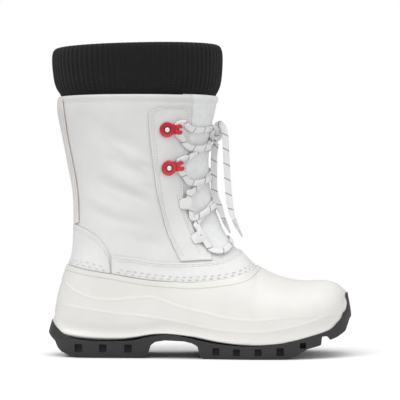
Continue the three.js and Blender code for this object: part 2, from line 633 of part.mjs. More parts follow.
// A flat strand from a place on the outer side of the throat, over the tongue, to one on the inner side.
function strand(from, to, over, grow = 0) {
  const [a, b, c] = [placeAt(from.x, from.z, -1), placeAt(over.x, over.z, -1), placeAt(to.x, to.z, 1)];
  const steps = 8;
  const route = Array.from({ length: steps + 1 }, (_, k) => {
    const t = k / steps;
    const climb = THREE.MathUtils.smoothstep(Math.abs(2 * t - 1), LACE_CLIMB.from, LACE_CLIMB.to);
    const lift = LACE.thick / 2 + 2 * GAP + climb * (LEATHER + 2 * GAP);
    const through = (key) =>
      (1 - t) * (1 - 2 * t) * a[key] + 4 * t * (1 - t) * b[key] + t * (2 * t - 1) * c[key];
    const [at, angle] = [through("at"), through("angle")];
    return { point: skinPoint(at, angle, lift), out: skinNormal(at, angle) };
  });
  const [w, h] = [LACE.wide / 2 + grow, LACE.thick / 2 + grow];
  const rings = route.map(({ point, out }, k) => {
    const along = route[Math.min(k + 1, steps)].point.clone().sub(route[Math.max(k - 1, 0)].point);
    const across = along.cross(out).normalize();
    const corners = [[w, -h], [w, h], [-w, h], [-w, -h]];
    return corners.map(([x, y]) => point.clone().addScaledVector(across, x).addScaledVector(out, y));
  });
  return solid(loftGeometry(rings));
}

function makeCrossing({ over, high, low }) {
  return strand(high, low, over).add(strand(low, high, over));
}

function makeBar({ over, end }, grow = 0) {
  return strand(end, end, over, grow);
}

function makeKnot() {
  const ball = new THREE.SphereGeometry(1, 10, 7).scale(KNOT.rx, KNOT.ry, KNOT.rz);
  return largest(solid(ball.translate(KNOT.x, KNOT.y, KNOT.z)).subtract(makeBar(BARS[0], 2 * GAP)));
}

// The boot, as an assembly of named meshes
const boot = new THREE.Group();

function place(name, geometry, look, parent = boot) {
  const mesh = new THREE.Mesh(geometry, new THREE.MeshStandardMaterial(LOOK[look]));
  mesh.name = name;
  parent.add(mesh);
  return mesh;
}

place("outsole", geometryOf(makeOutsole()), "rubber");
place("shell", geometryOf(makeShell()), "shell");
place("upper", geometryOf(makeUpper()), "nylon");
place("tongue", geometryOf(makeTongue()), "tongue");
place("insole", geometryOf(makeInsole()), "insole");
place("cuff", geometryOf(makeCuff()), "knit");
place("leather_band", geometryOf(makeBand()), "leather");
place("heel_counter", geometryOf(makeCounter()), "leather");
place("backstay", geometryOf(makeBackstay()), "leather");
for (const [side, word] of [[-1, "outer"], [1, "inner"]]) {
  place(`eyestay_${word}`, geometryOf(makeEyestay(side)), "leather");
  for (const { name, x, z, tilt } of HOOKS) {
    const seat = seatOf(x, z, side, LEATHER + 2 * GAP);
    const turned = new THREE.Group();
    turned.rotation.z = THREE.MathUtils.degToRad(-side * tilt);
    seat.add(turned);
    boot.add(seat);
    place(`hook_${word}_${name}`, geometryOf(makeHook()), "hook", turned);
    place(`rivet_${word}_${name}`, rivetGeometry(), "rivet", turned);
  }
  for (const { name, x, z, tilt } of LOOPS) {
    const seat = seatOf(x, z, side, LEATHER + 2 * GAP);
    const turned = new THREE.Group();
    turned.rotation.z = THREE.MathUtils.degToRad(-side * tilt);
    seat.add(turned);
    boot.add(seat);
    place(`loop_${word}_${name}`, makeLoop(), "leather", turned);
  }
}

for (const crossing of CROSSINGS) {
  place(`lace_crossing_${crossing.name}`, geometryOf(makeCrossing(crossing)), "lace");
}
for (const bar of BARS) place(`lace_bar_${bar.name}`, geometryOf(makeBar(bar)), "lace");
place("lace_knot", geometryOf(makeKnot()), "lace");
place("lace_end_outer", laceEnd(LACE_END_OUTER), "lace");
place("lace_end_inner", laceEnd(LACE_END_INNER), "lace");

export default boot;
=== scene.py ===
"""Dresses a tall lace-up winter boot for the right foot, seen from its outer side.

Sizes are millimetres in the tables, apart from the routes of the lace's ends, and turned into metres where
a mesh is made. +Z is up, +X runs to the toe and +Y to the inner side of the foot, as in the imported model.
"""

import logging
import math
from collections.abc import Callable, Sequence
from dataclasses import astuple, dataclass, field
from enum import Enum
from functools import partial

import bpy
import numpy as np
from mathutils import Matrix, Vector


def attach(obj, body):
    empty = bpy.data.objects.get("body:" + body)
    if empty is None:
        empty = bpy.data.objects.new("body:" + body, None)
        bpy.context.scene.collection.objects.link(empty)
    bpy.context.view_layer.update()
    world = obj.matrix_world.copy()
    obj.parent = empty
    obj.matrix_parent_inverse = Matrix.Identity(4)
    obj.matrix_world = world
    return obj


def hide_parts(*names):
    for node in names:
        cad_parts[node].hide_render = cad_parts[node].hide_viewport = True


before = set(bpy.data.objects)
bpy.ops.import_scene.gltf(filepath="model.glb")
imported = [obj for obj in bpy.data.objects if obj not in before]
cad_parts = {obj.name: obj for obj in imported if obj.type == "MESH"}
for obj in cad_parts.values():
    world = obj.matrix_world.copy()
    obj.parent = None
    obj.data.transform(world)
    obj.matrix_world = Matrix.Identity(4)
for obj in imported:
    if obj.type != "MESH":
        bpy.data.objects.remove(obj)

LOG = logging.getLogger("boot")
MM = 0.001
WALL = 2.0
GAP = 0.3
LEATHER = 1.2
SHELL_WALL = 2.7
SHAFT_TOP = 246.0
OUTER, INNER = -1, 1
SIDES = ((OUTER, "outer"), (INNER, "inner"))
SHAFT_ROW = 22  # the section where the shaft stands free of the foot's curve
MERGE, SEAM_MERGE = 0.00001, 0.00002  # in metres
STEP = 1e-3  # a small share of a line, to the next place on it

Array = np.ndarray
Pair = tuple[float, float]
Triple = tuple[float, float, float]
Line = Sequence[Pair]
Piece = bpy.types.Object
Look = bpy.types.Material
Socket = bpy.types.NodeSocket


# The last


@dataclass(frozen=True)
class Section:
    """One slanted cut of the last, from its bottom point (bx, bz) to its top point (tx, tz)."""

    tx: float
    tz: float
    bx: float
    bz: float
    outer: float
    inner: float
    mid: float
    wide: float
    low: float
    top: float


SECTIONS = (
    Section(137.7, 54.5, 137.7, 39.5, 7, 19, 6, 0.5, 2, 2),
    Section(134.2, 61.8, 134.2, 33.5, 19, 30, 5.5, 0.46, 2.1, 2.1),
    Section(128, 66.2, 128, 30.5, 29, 37.5, 4.5, 0.44, 2.4, 2.2),
    Section(117, 68.3, 117, 25, 38.5, 43, 3, 0.42, 2.8, 2.2),
    Section(101, 67.9, 101, 18, 45.5, 46, 1, 0.4, 3.2, 2.2),
    Section(84, 70.3, 84, 14.3, 49.5, 47.3, -0.5, 0.38, 3.6, 2.1),
    Section(67, 76, 64, 12.8, 51, 46.8, -1, 0.35, 3.8, 2),
    Section(52, 85, 42, 12.8, 49.8, 43.5, -1.5, 0.31, 3.8, 1.9),
    Section(41, 96.2, 18, 15.4, 47, 39, -1.5, 0.28, 3.8, 1.85),
    Section(30.5, 107, -10, 20.5, 43, 35, -1, 0.26, 3.6, 1.8),
    Section(23, 119, -42, 22.4, 39.5, 34.5, -0.5, 0.27, 3.4, 1.8),
    Section(17.3, 132, -80, 15.6, 37.8, 35.5, 0, 0.34, 3, 1.8),
    Section(13.2, 144, -117, 16.4, 38, 37, 0, 0.4, 2.7, 1.8),
    Section(10.6, 155, -134, 27.5, 38.5, 38, 0, 0.42, 2.5, 1.8),
    Section(9.4, 165, -135, 46, 39.3, 39, 0, 0.43, 2.4, 1.8),
    Section(8.7, 176, -128.6, 73.5, 40.5, 40.3, 0, 0.44, 2.3, 1.8),
    Section(8.4, 187, -121.2, 98, 42, 42, 0, 0.45, 2.2, 1.85),
    Section(8.5, 197, -119.6, 127, 44, 44, 0, 0.46, 2.2, 1.9),
    Section(9.2, 208, -120.5, 157, 46.3, 46.3, 0, 0.47, 2.2, 1.95),
    Section(11.5, 220, -125.5, 184, 49, 49, 0, 0.48, 2.2, 2),
    Section(14.3, 232, -130.5, 210, 51.5, 51.5, 0, 0.49, 2.2, 2.05),
    Section(16.6, 243, -134.8, 232, 53.5, 53.5, 0, 0.5, 2.2, 2.1),
    Section(17.2, 252, -134.8, 247, 53.7, 53.7, 0, 0.5, 2.2, 2.1),
    Section(18, 262, -136.8, 262, 54, 54, 0, 0.5, 2.2, 2.1),
    Section(18, 304, -139, 304, 54, 54, 0, 0.5, 2.2, 2.1),
)
TOE_TIP = (138.8, 6.5, 46.5)

# Lines on the side of the boot, as (x, z)
SHELL_LINE: Line = (
    (-160, 88), (-128, 86.6), (-106, 82.6), (-83, 79), (-48, 73), (-14, 70.4), (4, 70.8), (20, 72.4),
    (37, 75.4), (46, 78.6), (52.5, 83.4), (57, 88), (62, 93),
)
COUNTER_LINE: Line = ((-121, 127), (-113, 122.6), (-105, 119), (-95, 112.5), (-87.5, 103), (-84.4, 93))
BAND_SEAM: Line = (
    (-81.6, 96.4), (-63, 94), (-44, 90.4), (-18, 89), (5, 89.2), (23, 92), (34, 98), (45, 112),
)
THROAT_EDGE: Line = (
    (-6, 320), (-8, 233), (-10.6, 206), (-16.4, 157), (-11, 134), (-5.5, 118.6), (1, 107), (10, 101.6),
)
THROAT_FOOT: Line = ((-60, 101.6), (10, 101.6), (22, 100.2), (33, 103.4), (60, 116))
EYESTAY_REAR: Line = (
    (-46, 234.2), (-47.6, 227), (-46.7, 210), (-44.4, 189), (-42, 169), (-40, 154), (-35.6, 136),
    (-31, 118.6), (-25, 104.5), (-17.4, 89.7),
)
BACKSTAY_EDGE: Line = ((-129, 245), (-124.5, 210), (-119.5, 184), (-115, 157), (-113.6, 127))


def smoothstep(value: Array, low: float, high: float) -> Array:
    """Returns 0 below low, 1 above high and a soft step between.

    Args:
        value: The values to step.
        low: Where the step starts.
        high: Where it ends.

    Returns:
        The stepped values.
    """
    share = np.clip((np.asarray(value, float) - low) / (high - low), 0, 1)
    return share * share * (3 - 2 * share)


def spline(points: Array, steps: int) -> Array:
    """Draws a smooth curve through points.

    Args:
        points: The points, one row each.
        steps: How many samples lie on each stretch.

    Returns:
        The samples, the last point among them.
    """
    p = np.asarray(points, float)
    p = np.vstack([2 * p[0] - p[1], p, 2 * p[-1] - p[-2]])
    t = np.linspace(0, 1, steps, endpoint=False)[:, None]
    runs = []
    for a, b, c, d in zip(p[:-3], p[1:-2], p[2:-1], p[3:]):
        runs.append(b + 0.5 * t * (c - a + t * (2 * a - 5 * b + 4 * c - d + t * (3 * (b - c) + d - a))))
    return np.vstack([*runs, p[-2:-1]])


def run_along(points: Array, axis: int = 0) -> Array:
    """Gives how far each point lies from the first along rows of points."""
    first = np.take(points, [0], axis=axis)
    return np.cumsum(np.linalg.norm(np.diff(points, axis=axis, prepend=first), axis=-1), axis=axis)


def resample(points: Array, count: int) -> Array:
    """Spaces samples evenly along a polyline.

    Args:
        points: The polyline.
        count: How many samples to take.

    Returns:
        The samples.
    """
    run = run_along(points)
    at = np.linspace(0, run[-1], count)
    return np.stack([np.interp(at, run, points[:, k]) for k in range(points.shape[1])], axis=1)


class Last:
    """The form that every panel lies on: a place along it and an angle round it give a point."""

    FLAT = len(SECTIONS) - 2

    def __init__(self, sections: Sequence[Section]) -> None:
        """Keeps the sections as a table of numbers."""
        self.rows = np.array([astuple(s) for s in sections])
        self.end = len(sections) - 1

    def point(self, at: Array, angle: Array) -> Array:
        """Gives points of the last's surface.

        Args:
            at: Places along the last, in rows.
            angle: Angles round it, from the instep; negative on the outer side.

        Returns:
            The points, in millimetres.
        """
        at, angle = np.broadcast_arrays(np.clip(at, 0, self.end), angle)
        i = np.minimum(np.floor(at).astype(int), self.end - 1)
        t = (at - i)[..., None]
        a, b, c, d = (self.rows[np.clip(i + k, 0, self.end)] for k in (-1, 0, 1, 2))
        cut = b + 0.5 * t * (c - a + t * (2 * a - 5 * b + 4 * c - d + t * (3 * (b - c) + d - a)))
        tx, tz, bx, bz, outer, inner, mid, wide, low, top = np.moveaxis(cut, -1, 0)
        cos, sin = np.cos(angle), np.sin(angle)
        square = 2 / np.where(cos > 0, top, low)
        up = wide + np.sign(cos) * np.abs(cos) ** square * np.where(cos > 0, 1 - wide, wide)
        out = np.abs(sin) ** square * np.where(sin > 0, inner - mid, -(outer + mid))
        return np.stack([bx + (tx - bx) * up, mid + out, bz + (tz - bz) * up], axis=-1)

    def normal(self, at: Array, angle: Array) -> Array:
        """Gives the directions out of the surface at the same places as point."""
        step = 0.02
        before, after = np.maximum(at - step, 0), np.minimum(at + step, self.end)
        along = self.point(after, angle) - self.point(before, angle)
        around = self.point(at, angle + step) - self.point(at, angle - step)
        out = np.cross(around, along)
        out[..., 2] *= np.where(np.broadcast_to(at, out.shape[:-1]) >= self.FLAT, 0, 1)
        return out / np.maximum(np.linalg.norm(out, axis=-1, keepdims=True), 1e-9)

    def skin(self, at: Array, angle: Array, off: Array | float) -> Array:
        """Gives points that lie a distance outside the last.

        Args:
            at: Places along the last.
            angle: Angles round it.
            off: How far out each point lies.

        Returns:
            The points, in millimetres.
        """
        return self.point(at, angle) + self.normal(at, angle) * np.asarray(off, float)[..., None]

    def place(self, x: float, z: float, side: int) -> Pair:
        """Finds the place that shows at x, z from one side.

        Args:
            x: Distance to the toe.
            z: Height.
            side: OUTER or INNER.

        Returns:
            The place along the last and the angle round it.
        """
        at, angle = np.meshgrid(np.arange(6, self.FLAT, 0.25), np.arange(0.05, math.pi, 0.05))
        step = 0.25
        while step > 1e-4:
            p = self.point(at, side * angle)
            best = np.unravel_index(np.argmin(np.hypot(p[..., 0] - x, p[..., 2] - z)), at.shape)
            a, b = at[best], angle[best]
            at, angle = np.meshgrid(a + step * np.linspace(-1, 1, 9), b + step / 4 * np.linspace(-1, 1, 9))
            step *= 0.5
        return float(a), float(side * b)

    def trace(self, level: Callable[[Array], Array], side: int) -> Array:
        """Follows a line of the side view over the last.

        Args:
            level: Gives each point's signed distance from the line.
            side: OUTER or INNER.

        Returns:
            Rows of (at, angle) from the toe end to the heel end; the angle runs from 0 to pi.
        """
        rows = np.linspace(0, self.end, 1441)
        turn = np.linspace(0, math.pi, 361)
        value = level(self.point(rows[:, None], side * turn[None, :]))
        found = []
        for k, v in enumerate(value):
            hits = np.nonzero(np.sign(v[:-1]) != np.sign(v[1:]))[0]
            if len(hits):
                j = hits[0]
                found.append((rows[k], turn[j] + (turn[j + 1] - turn[j]) * v[j] / (v[j] - v[j + 1])))
        ends = []
        for column, angle in ((0, 0.0), (-1, math.pi)):
            v = value[:, column]
            near = [k for k in np.nonzero(np.sign(v[:-1]) != np.sign(v[1:]))[0] if abs(v[k]) < 4]
            ends += [(rows[k] + (rows[k + 1] - rows[k]) * v[k] / (v[k] - v[k + 1]), angle) for k in near]
        traced = np.array(found)
        keep = [e for e in ends if np.min(np.abs(traced[:, 0] - e[0])) < 0.05]
        traced = np.vstack([traced, keep]) if keep else traced
        return traced[np.argsort(traced[:, 0], kind="stable")]


LAST = Last(SECTIONS)


def over(line: Line, lift: float = 0.0) -> Callable[[Array], Array]:
    """Gives the signed height of points over a line that runs along the boot.

    Args:
        line: The line's points.
        lift: How far the line is raised.

    Returns:
        A function of points.
    """
    curve = spline(np.array(sorted(line)), 12)
    return lambda p: p[..., 2] - lift - np.interp(p[..., 0], curve[:, 0], curve[:, 1])


def ahead(line: Line, shift: float = 0.0) -> Callable[[Array], Array]:
    """Gives the signed distance of points in front of a line that runs up the boot.

    Args:
        line: The line's points.
        shift: How far the line is moved forward.

    Returns:
        A function of points.
    """
    curve = spline(np.array(sorted(line, key=lambda q: q[1])), 12)
    return lambda p: p[..., 0] - shift - np.interp(p[..., 2], curve[:, 1], curve[:, 0])


def throat() -> Callable[[Array], Array]:
    """Gives how far points lie inside the throat's outline."""
    edge, foot = ahead(THROAT_EDGE), over(THROAT_FOOT)
    return lambda p: np.minimum(edge(p), foot(p))


def clip_trace(traced: Array, side: int, axis: int, low: float, high: float) -> Array:
    """Keeps the part of a traced line between two values of x or z.

    Args:
        traced: Rows of (at, angle).
        side: OUTER or INNER.
        axis: 0 for x, 2 for z.
        low: The lowest value kept.
        high: The highest.

    Returns:
        The rows that are kept.
    """
    fine = resample(traced, 1200)
    value = LAST.point(fine[:, 0], side * fine[:, 1])[:, axis]
    return fine[(value >= low) & (value <= high)]


# Meshes


def ready() -> None:
    """Leaves edit mode and deselects all."""
    if bpy.context.object and bpy.context.object.mode != "OBJECT":
        bpy.ops.object.mode_set(mode="OBJECT")
    bpy.ops.object.select_all(action="DESELECT")


def pick(obj: Piece) -> None:
    """Makes one object the only selected and the active one."""
    ready()
    obj.select_set(True)
    bpy.context.view_layer.objects.active = obj


def settle(obj: Piece) -> Piece:
    """Applies an object's place to its mesh and its modifiers in order."""
    pick(obj)
    bpy.ops.object.transform_apply(location=True, rotation=True, scale=True)
    for modifier in list(obj.modifiers):
        bpy.ops.object.modifier_apply(modifier=modifier.name)
    return obj


def edit(obj: Piece, *steps: Callable[[], object]) -> None:
    """Runs operators in edit mode, each on the whole mesh."""
    pick(obj)
    bpy.ops.object.mode_set(mode="EDIT")
    for step in steps:
        bpy.ops.mesh.select_all(action="SELECT")
        step()
    bpy.ops.object.mode_set(mode="OBJECT")


FACE_OUT = partial(bpy.ops.mesh.normals_make_consistent, inside=False)


def unit(vectors: Array) -> Array:
    """Gives vectors the length 1."""
    return vectors / np.linalg.norm(vectors, axis=-1, keepdims=True)


def sheet(name: str, points: Array, uv: Array | None = None, round_u: bool = False) -> Piece:
    """Wraps a grid over a table of points.

    Args:
        name: The piece's name.
        points: Rows by columns of points, in millimetres; rows run up or along, columns run round.
        uv: The pattern place of each point, in millimetres.
        round_u: Whether the last column joins the first.

    Returns:
        The new object.
    """
    rows, columns = points.shape[:2]
    ready()
    bpy.ops.mesh.primitive_grid_add(x_subdivisions=columns - 1, y_subdivisions=rows - 1, size=1)
    obj = bpy.context.object
    obj.name = obj.data.name = name
    obj.data.vertices.foreach_set("co", (points.reshape(-1, 3) * MM).ravel())
    if uv is not None:
        lay_uv(obj, uv.reshape(-1, 2))
    if round_u:
        edit(obj, partial(bpy.ops.mesh.remove_doubles, threshold=SEAM_MERGE))
    obj.data.update()
    return obj


def lay_uv(obj: Piece, uv: Array) -> None:
    """Writes a pattern place for each vertex, in tenths of a metre."""
    if not obj.data.uv_layers:
        obj.data.uv_layers.new(name="UVMap")
    corner = np.empty(len(obj.data.loops), dtype=int)
    obj.data.loops.foreach_get("vertex_index", corner)
    obj.data.uv_layers[0].data.foreach_set("uv", (uv[corner] / 100).ravel())


def mark(obj: Piece, name: str, values: Array) -> None:
    """Stores one number for each vertex under a name."""
    layer = obj.data.attributes.new(name, "FLOAT", "POINT")
    layer.data.foreach_set("value", np.asarray(values, np.float32).ravel())


def round_edges(obj: Piece, width: float, degrees: float) -> None:
    """Bevels the edges that are sharper than an angle, by a width in millimetres."""
    rim = obj.modifiers.new("rim", "BEVEL")
    rim.width = width * MM
    rim.segments = 3
    rim.limit_method = "ANGLE"
    rim.angle_limit = math.radians(degrees)


def finish_wall(obj: Piece, thick: float, bevel: float, inside_slot: int = 0) -> None:
    """Gives a sheet its thickness inwards and rounds its rim.

    Args:
        obj: The sheet, whose faces point out.
        thick: The wall, in millimetres.
        bevel: The rim's rounding, in millimetres.
        inside_slot: The material slot of the inner face.
    """
    wall = obj.modifiers.new("wall", "SOLIDIFY")
    wall.thickness = thick * MM
    wall.offset = -1
    wall.material_offset = inside_slot
    round_edges(obj, bevel, 55)
    settle(obj)
    smooth(obj)


def smooth(obj: Piece, degrees: float = 40.0) -> None:
    """Shades an object smooth except over sharp edges."""
    pick(obj)
    bpy.ops.object.shade_smooth_by_angle(angle=math.radians(degrees))


def outward(obj: Piece) -> None:
    """Merges an object's doubles and turns all of its faces out."""
    edit(obj, partial(bpy.ops.mesh.remove_doubles, threshold=MERGE), FACE_OUT)


def from_faces(name: str, points: Array, faces: Sequence[Sequence[int]], edges: Sequence[Pair] = ()) -> Piece:
    """Makes an object from points in millimetres, and faces or edges."""
    mesh = bpy.data.meshes.new(name)
    mesh.from_pydata((np.asarray(points) * MM).tolist(), edges, faces)
    mesh.update()
    obj = bpy.data.objects.new(name, mesh)
    bpy.context.collection.objects.link(obj)
    return obj


def tube_faces(rings: int, count: int, base: int = 0) -> list[list[int]]:
    """Gives the faces between closed rings of points that follow each other.

    Args:
        rings: How many rings.
        count: How many points each has.
        base: The first ring's first point.

    Returns:
        The faces, as four points each.
    """
    faces = []
    for row in range(rings - 1):
        for k in range(count):
            a, b = (base + row * count + n for n in (k, (k + 1) % count))
            faces.append([a, b, b + count, a + count])
    return faces


def extruded(name: str, outline: Sequence[Triple], move: Triple) -> Piece:
    """Extrudes a flat outline along a direction, both in millimetres."""
    face = from_faces(name, np.array(outline), [list(range(len(outline)))])
    away = {"value": tuple(m * MM for m in move)}
    edit(face, partial(bpy.ops.mesh.extrude_region_move, TRANSFORM_OT_translate=away), FACE_OUT)
    return face


def bar(outline: Line, low: float, high: float) -> Piece:
    """Makes a flat bar of an outline between two heights."""
    return extruded("bar", [(x, y, low) for x, y in outline], (0, 0, high - low))


def block(name: str, outline: Line) -> Piece:
    """Extrudes a side outline, as (x, z), across the whole boot."""
    wide = 90
    return extruded(name, [(x, -wide, z) for x, z in outline], (0, 2 * wide, 0))


class Cut(Enum):
    """How one solid works on another."""

    KEEP = "INTERSECT"
    TAKE = "DIFFERENCE"
    JOIN = "UNION"


def cut(obj: Piece, tool: Piece, how: Cut) -> None:
    """Cuts or joins a solid with another, which is then deleted."""
    change = obj.modifiers.new("cut", "BOOLEAN")
    change.operation = how.value
    change.object = tool
    change.solver = "EXACT"
    settle(obj)
    bpy.data.objects.remove(tool)


def wear(obj: Piece, *looks: Look, slot: str, nodes: Sequence[str] = ()) -> None:
    """Gives a new piece its materials and its body, and hides the CAD nodes it stands for.

    Args:
        obj: The piece.
        looks: Its materials, in slot order.
        slot: A material slot's name; not used.
        nodes: The nodes that it replaces.
    """
    slots = [face.material_index for face in obj.data.polygons]
    obj.data.materials.clear()
    for look in looks:
        obj.data.materials.append(look)
    obj.data.polygons.foreach_set("material_index", [min(k, len(looks) - 1) for k in slots])
    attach(obj, "root")
    if nodes:
        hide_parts(*nodes)
    LOG.info("%s: %d faces", obj.name, len(obj.data.polygons))


# Finishes


class Shader:
    """A material's node tree, with short calls for the nodes that a finish needs."""

    def __init__(self, name: str, colour: Triple, roughness: float) -> None:
        """Starts a material with its plain colour and roughness."""
        self.material = bpy.data.materials.new(name)
        self.material.use_nodes = True
        self.tree = self.material.node_tree
        self.surface = self.tree.nodes["Principled BSDF"]
        self.set("Base Color", (*colour, 1))
        self.set("Roughness", roughness)
        self.last_bump = None

    def set(self, socket: str, value: object) -> None:
        """Sets or links a socket of the surface."""
        self.fill(self.surface.inputs[socket], value)

    def fill(self, socket: Socket, value: object) -> None:
        """Gives a socket a number, a colour or a link."""
        if isinstance(value, Socket):
            self.tree.links.new(value, socket)
        else:
            socket.default_value = value

    def node(self, kind: str, settings: dict[str, object] | None = None, **inputs: object) -> bpy.types.Node:
        """Adds a node.

        Args:
            kind: Blender's name for it.
            settings: Its options.
            inputs: Its sockets, with _ for a space.

        Returns:
            The node.
        """
        made = self.tree.nodes.new(kind)
        for key, value in (settings or {}).items():
            setattr(made, key, value)
        for key, value in inputs.items():
            self.fill(made.inputs[key.replace("_", " ")], value)
        return made

    def place(self) -> Socket:
        """Gives object coordinates in millimetres."""
        where = self.node("ShaderNodeTexCoord").outputs["Object"]
        return self.node("ShaderNodeMapping", Vector=where, Scale=(1 / MM,) * 3).outputs[0]

    def cloth_place(self, u: float = 1.0, v: float = 1.0, turn: float = 0.0) -> Socket:
        """Gives the piece's own pattern coordinates in millimetres, times u and v."""
        where = self.node("ShaderNodeUVMap").outputs[0]
        mapped = self.node("ShaderNodeMapping", Vector=where, Scale=(100 * u, 100 * v, 1))
        mapped.inputs["Rotation"].default_value = (0, 0, turn)
        return mapped.outputs[0]

    def noise(self, where: Socket, scale: float, detail: float = 2.0) -> Socket:
        """Adds noise over a place, with features of 1/scale millimetres."""
        return self.node("ShaderNodeTexNoise", Vector=where, Scale=scale, Detail=detail).outputs[0]

    def math(self, how: str, a: object, b: object = 0.0) -> Socket:
        """Works out one value from two."""
        made = self.node("ShaderNodeMath", {"operation": how})
        self.fill(made.inputs[0], a)
        self.fill(made.inputs[1], b)
        return made.outputs[0]

    def off_middle(self, value: Socket) -> Socket:
        """Gives how far the fraction of a value lies from a half."""
        return self.math("ABSOLUTE", self.math("SUBTRACT", self.math("FRACT", value), 0.5))

    def weave(self, scale: float) -> Socket:
        """Gives the height of threads that cross each other."""
        threads = []
        for way in ("X", "Y"):
            kind = {"bands_direction": way}
            wave = self.node("ShaderNodeTexWave", kind, Vector=self.cloth_place(), Scale=scale)
            threads.append(wave.outputs[1])
        return self.math("MULTIPLY", *threads)

    def layer(self, kind: str, weight: float, roughness: float) -> None:
        """Sets the sheen or the coat."""
        self.set(f"{kind} Weight", weight)
        self.set(f"{kind} Roughness", roughness)

    def ramp(self, value: Socket, low: float, high: float, a: float, b: float) -> Socket:
        """Maps low..high smoothly onto a..b."""
        made = self.node("ShaderNodeMapRange", {"interpolation_type": "SMOOTHSTEP"})
        for socket, number in zip(made.inputs[:5], (value, low, high, a, b)):
            self.fill(socket, number)
        return made.outputs[0]

    def blend(self, share: Socket, a: object, b: object) -> Socket:
        """Blends two colours."""
        made = self.node("ShaderNodeMix", {"data_type": "RGBA"})
        self.fill(made.inputs[0], share)
        for socket, value in ((made.inputs[6], a), (made.inputs[7], b)):
            self.fill(socket, (*value, 1) if isinstance(value, tuple) and len(value) == 3 else value)
        return made.outputs[2]

    def bump(self, height: Socket, depth: float, strength: float = 1.0) -> None:
        """Adds relief to what is there, depth in millimetres."""
        made = self.node("ShaderNodeBump", Height=height, Distance=depth * MM, Strength=strength)
        if self.last_bump:
            self.tree.links.new(self.last_bump, made.inputs["Normal"])
        self.last_bump = made.outputs[0]
        self.set("Normal", self.last_bump)

    def attribute(self, name: str) -> Socket:
        """Reads a number stored on the piece's vertices."""
        return self.node("ShaderNodeAttribute", {"attribute_name": name}).outputs["Fac"]

    def mottle(self, colour: Triple, amount: float, scale: float) -> Socket:
        """Varies a colour softly over the piece.

        Args:
            colour: The plain colour.
            amount: How much darker it gets.
            scale: Features a millimetre.

        Returns:
            The colour.
        """
        dark = tuple(c * (1 - amount) for c in colour)
        return self.blend(self.ramp(self.noise(self.place(), scale, 3.0), 0.35, 0.65, 0, 1), dark, colour)


@dataclass(frozen=True)
class SoleRubber:
    """Matt dark rubber with a fine grain."""

    colour: Triple = (0.017, 0.0166, 0.018)
    roughness: float = 0.62

    def make(self) -> Look:
        """Returns the material."""
        s = Shader("sole rubber", self.colour, self.roughness)
        s.set("Base Color", s.mottle(self.colour, 0.18, 0.05))
        s.bump(s.noise(s.place(), 2.2, 4.0), 0.12, 0.6)
        s.bump(s.noise(s.place(), 0.12), 0.3, 0.4)
        return s.material


@dataclass(frozen=True)
class ShellRubber:
    """Smooth warm white rubber with a lip and low relief lines moulded in, with a painted highlight along
    each line and painted shade just below it.
    """

    colour: Triple = (0.66, 0.645, 0.618)
    roughness: float = 0.42

    def make(self) -> Look:
        """Returns the material."""
        s = Shader("shell rubber", self.colour, self.roughness)
        s.layer("Coat", 0.12, 0.35)
        s.bump(s.ramp(s.attribute("drop"), 4.0, 5.6, 1.0, 0.0), 0.8, 0.8)
        shade = s.mottle(self.colour, 0.035, 0.03)
        # Painted light on the relief lines: a lighter colour as a painted highlight on each crest, a darker
        # one as painted shade below it; only the ridge's bump is real relief.
        dark = tuple(c * 0.94 for c in self.colour)
        light = tuple(min(c * 1.06, 0.92) for c in self.colour)
        for name in ("wave_high", "wave_low"):
            ridge = s.ramp(s.math("ABSOLUTE", s.attribute(name)), 0.0, 2.2, 1.0, 0.0)
            below = s.ramp(s.attribute(name), -9.0, 0.0, 0.0, 1.0)
            under = s.math("MULTIPLY", below, s.math("LESS_THAN", s.attribute(name), 0.0))
            # Painted shade under the line, then the painted highlight on its crest.
            shade = s.blend(s.math("MULTIPLY", under, 0.35), shade, dark)
            shade = s.blend(s.math("MULTIPLY", ridge, 0.8), shade, light)
            s.bump(ridge, 0.5, 0.6)
        s.set("Base Color", shade)
        s.bump(s.noise(s.place(), 1.4, 4.0), 0.05, 0.5)
        return s.material


@dataclass(frozen=True)
class Nylon:
    """White coated weave with a satin sheen and fine wrinkles."""

    colour: Triple = (0.655, 0.655, 0.648)
    roughness: float = 0.48

    def make(self) -> Look:
        """Returns the material."""
        s = Shader("white nylon", self.colour, self.roughness)
        s.set("Base Color", s.mottle(self.colour, 0.03, 0.04))
        s.layer("Sheen", 0.15, 0.4)
        s.bump(s.weave(0.55), 0.07, 0.5)
        s.bump(s.noise(s.cloth_place(0.35, 1.0, 0.5), 0.11, 3.0), 0.9, 0.32)
        return s.material


@dataclass(frozen=True)
class Leather:
    """White coated leather with a fine pebble grain."""

    colour: Triple = (0.675, 0.675, 0.668)
    roughness: float = 0.52

    def make(self) -> Look:
        """Returns the material."""
        s = Shader("white leather", self.colour, self.roughness)
        s.set("Base Color", s.mottle(self.colour, 0.04, 0.05))
        cells = s.node("ShaderNodeTexVoronoi", {"feature": "DISTANCE_TO_EDGE"}, Vector=s.place(), Scale=1.3)
        s.bump(s.ramp(cells.outputs[0], 0.0, 0.25, 0.0, 1.0), 0.12, 0.4)
        s.bump(s.noise(s.place(), 0.18, 3.0), 0.5, 0.25)
        return s.material


@dataclass(frozen=True)
class Cloth:
    """A plain woven or felted cloth."""

    name: str
    colour: Triple
    thread: float
    depth: float
    roughness: float = 0.85

    def make(self) -> Look:
        """Returns the material."""
        s = Shader(self.name, self.colour, self.roughness)
        s.set("Base Color", s.mottle(self.colour, 0.06, 0.2))
        s.layer("Sheen", 0.25, 0.5)
        s.bump(s.weave(0.314 / self.thread), self.depth, 0.7)
        s.bump(s.noise(s.place(), 1.5, 3.0), 0.15, 0.4)
        return s.material


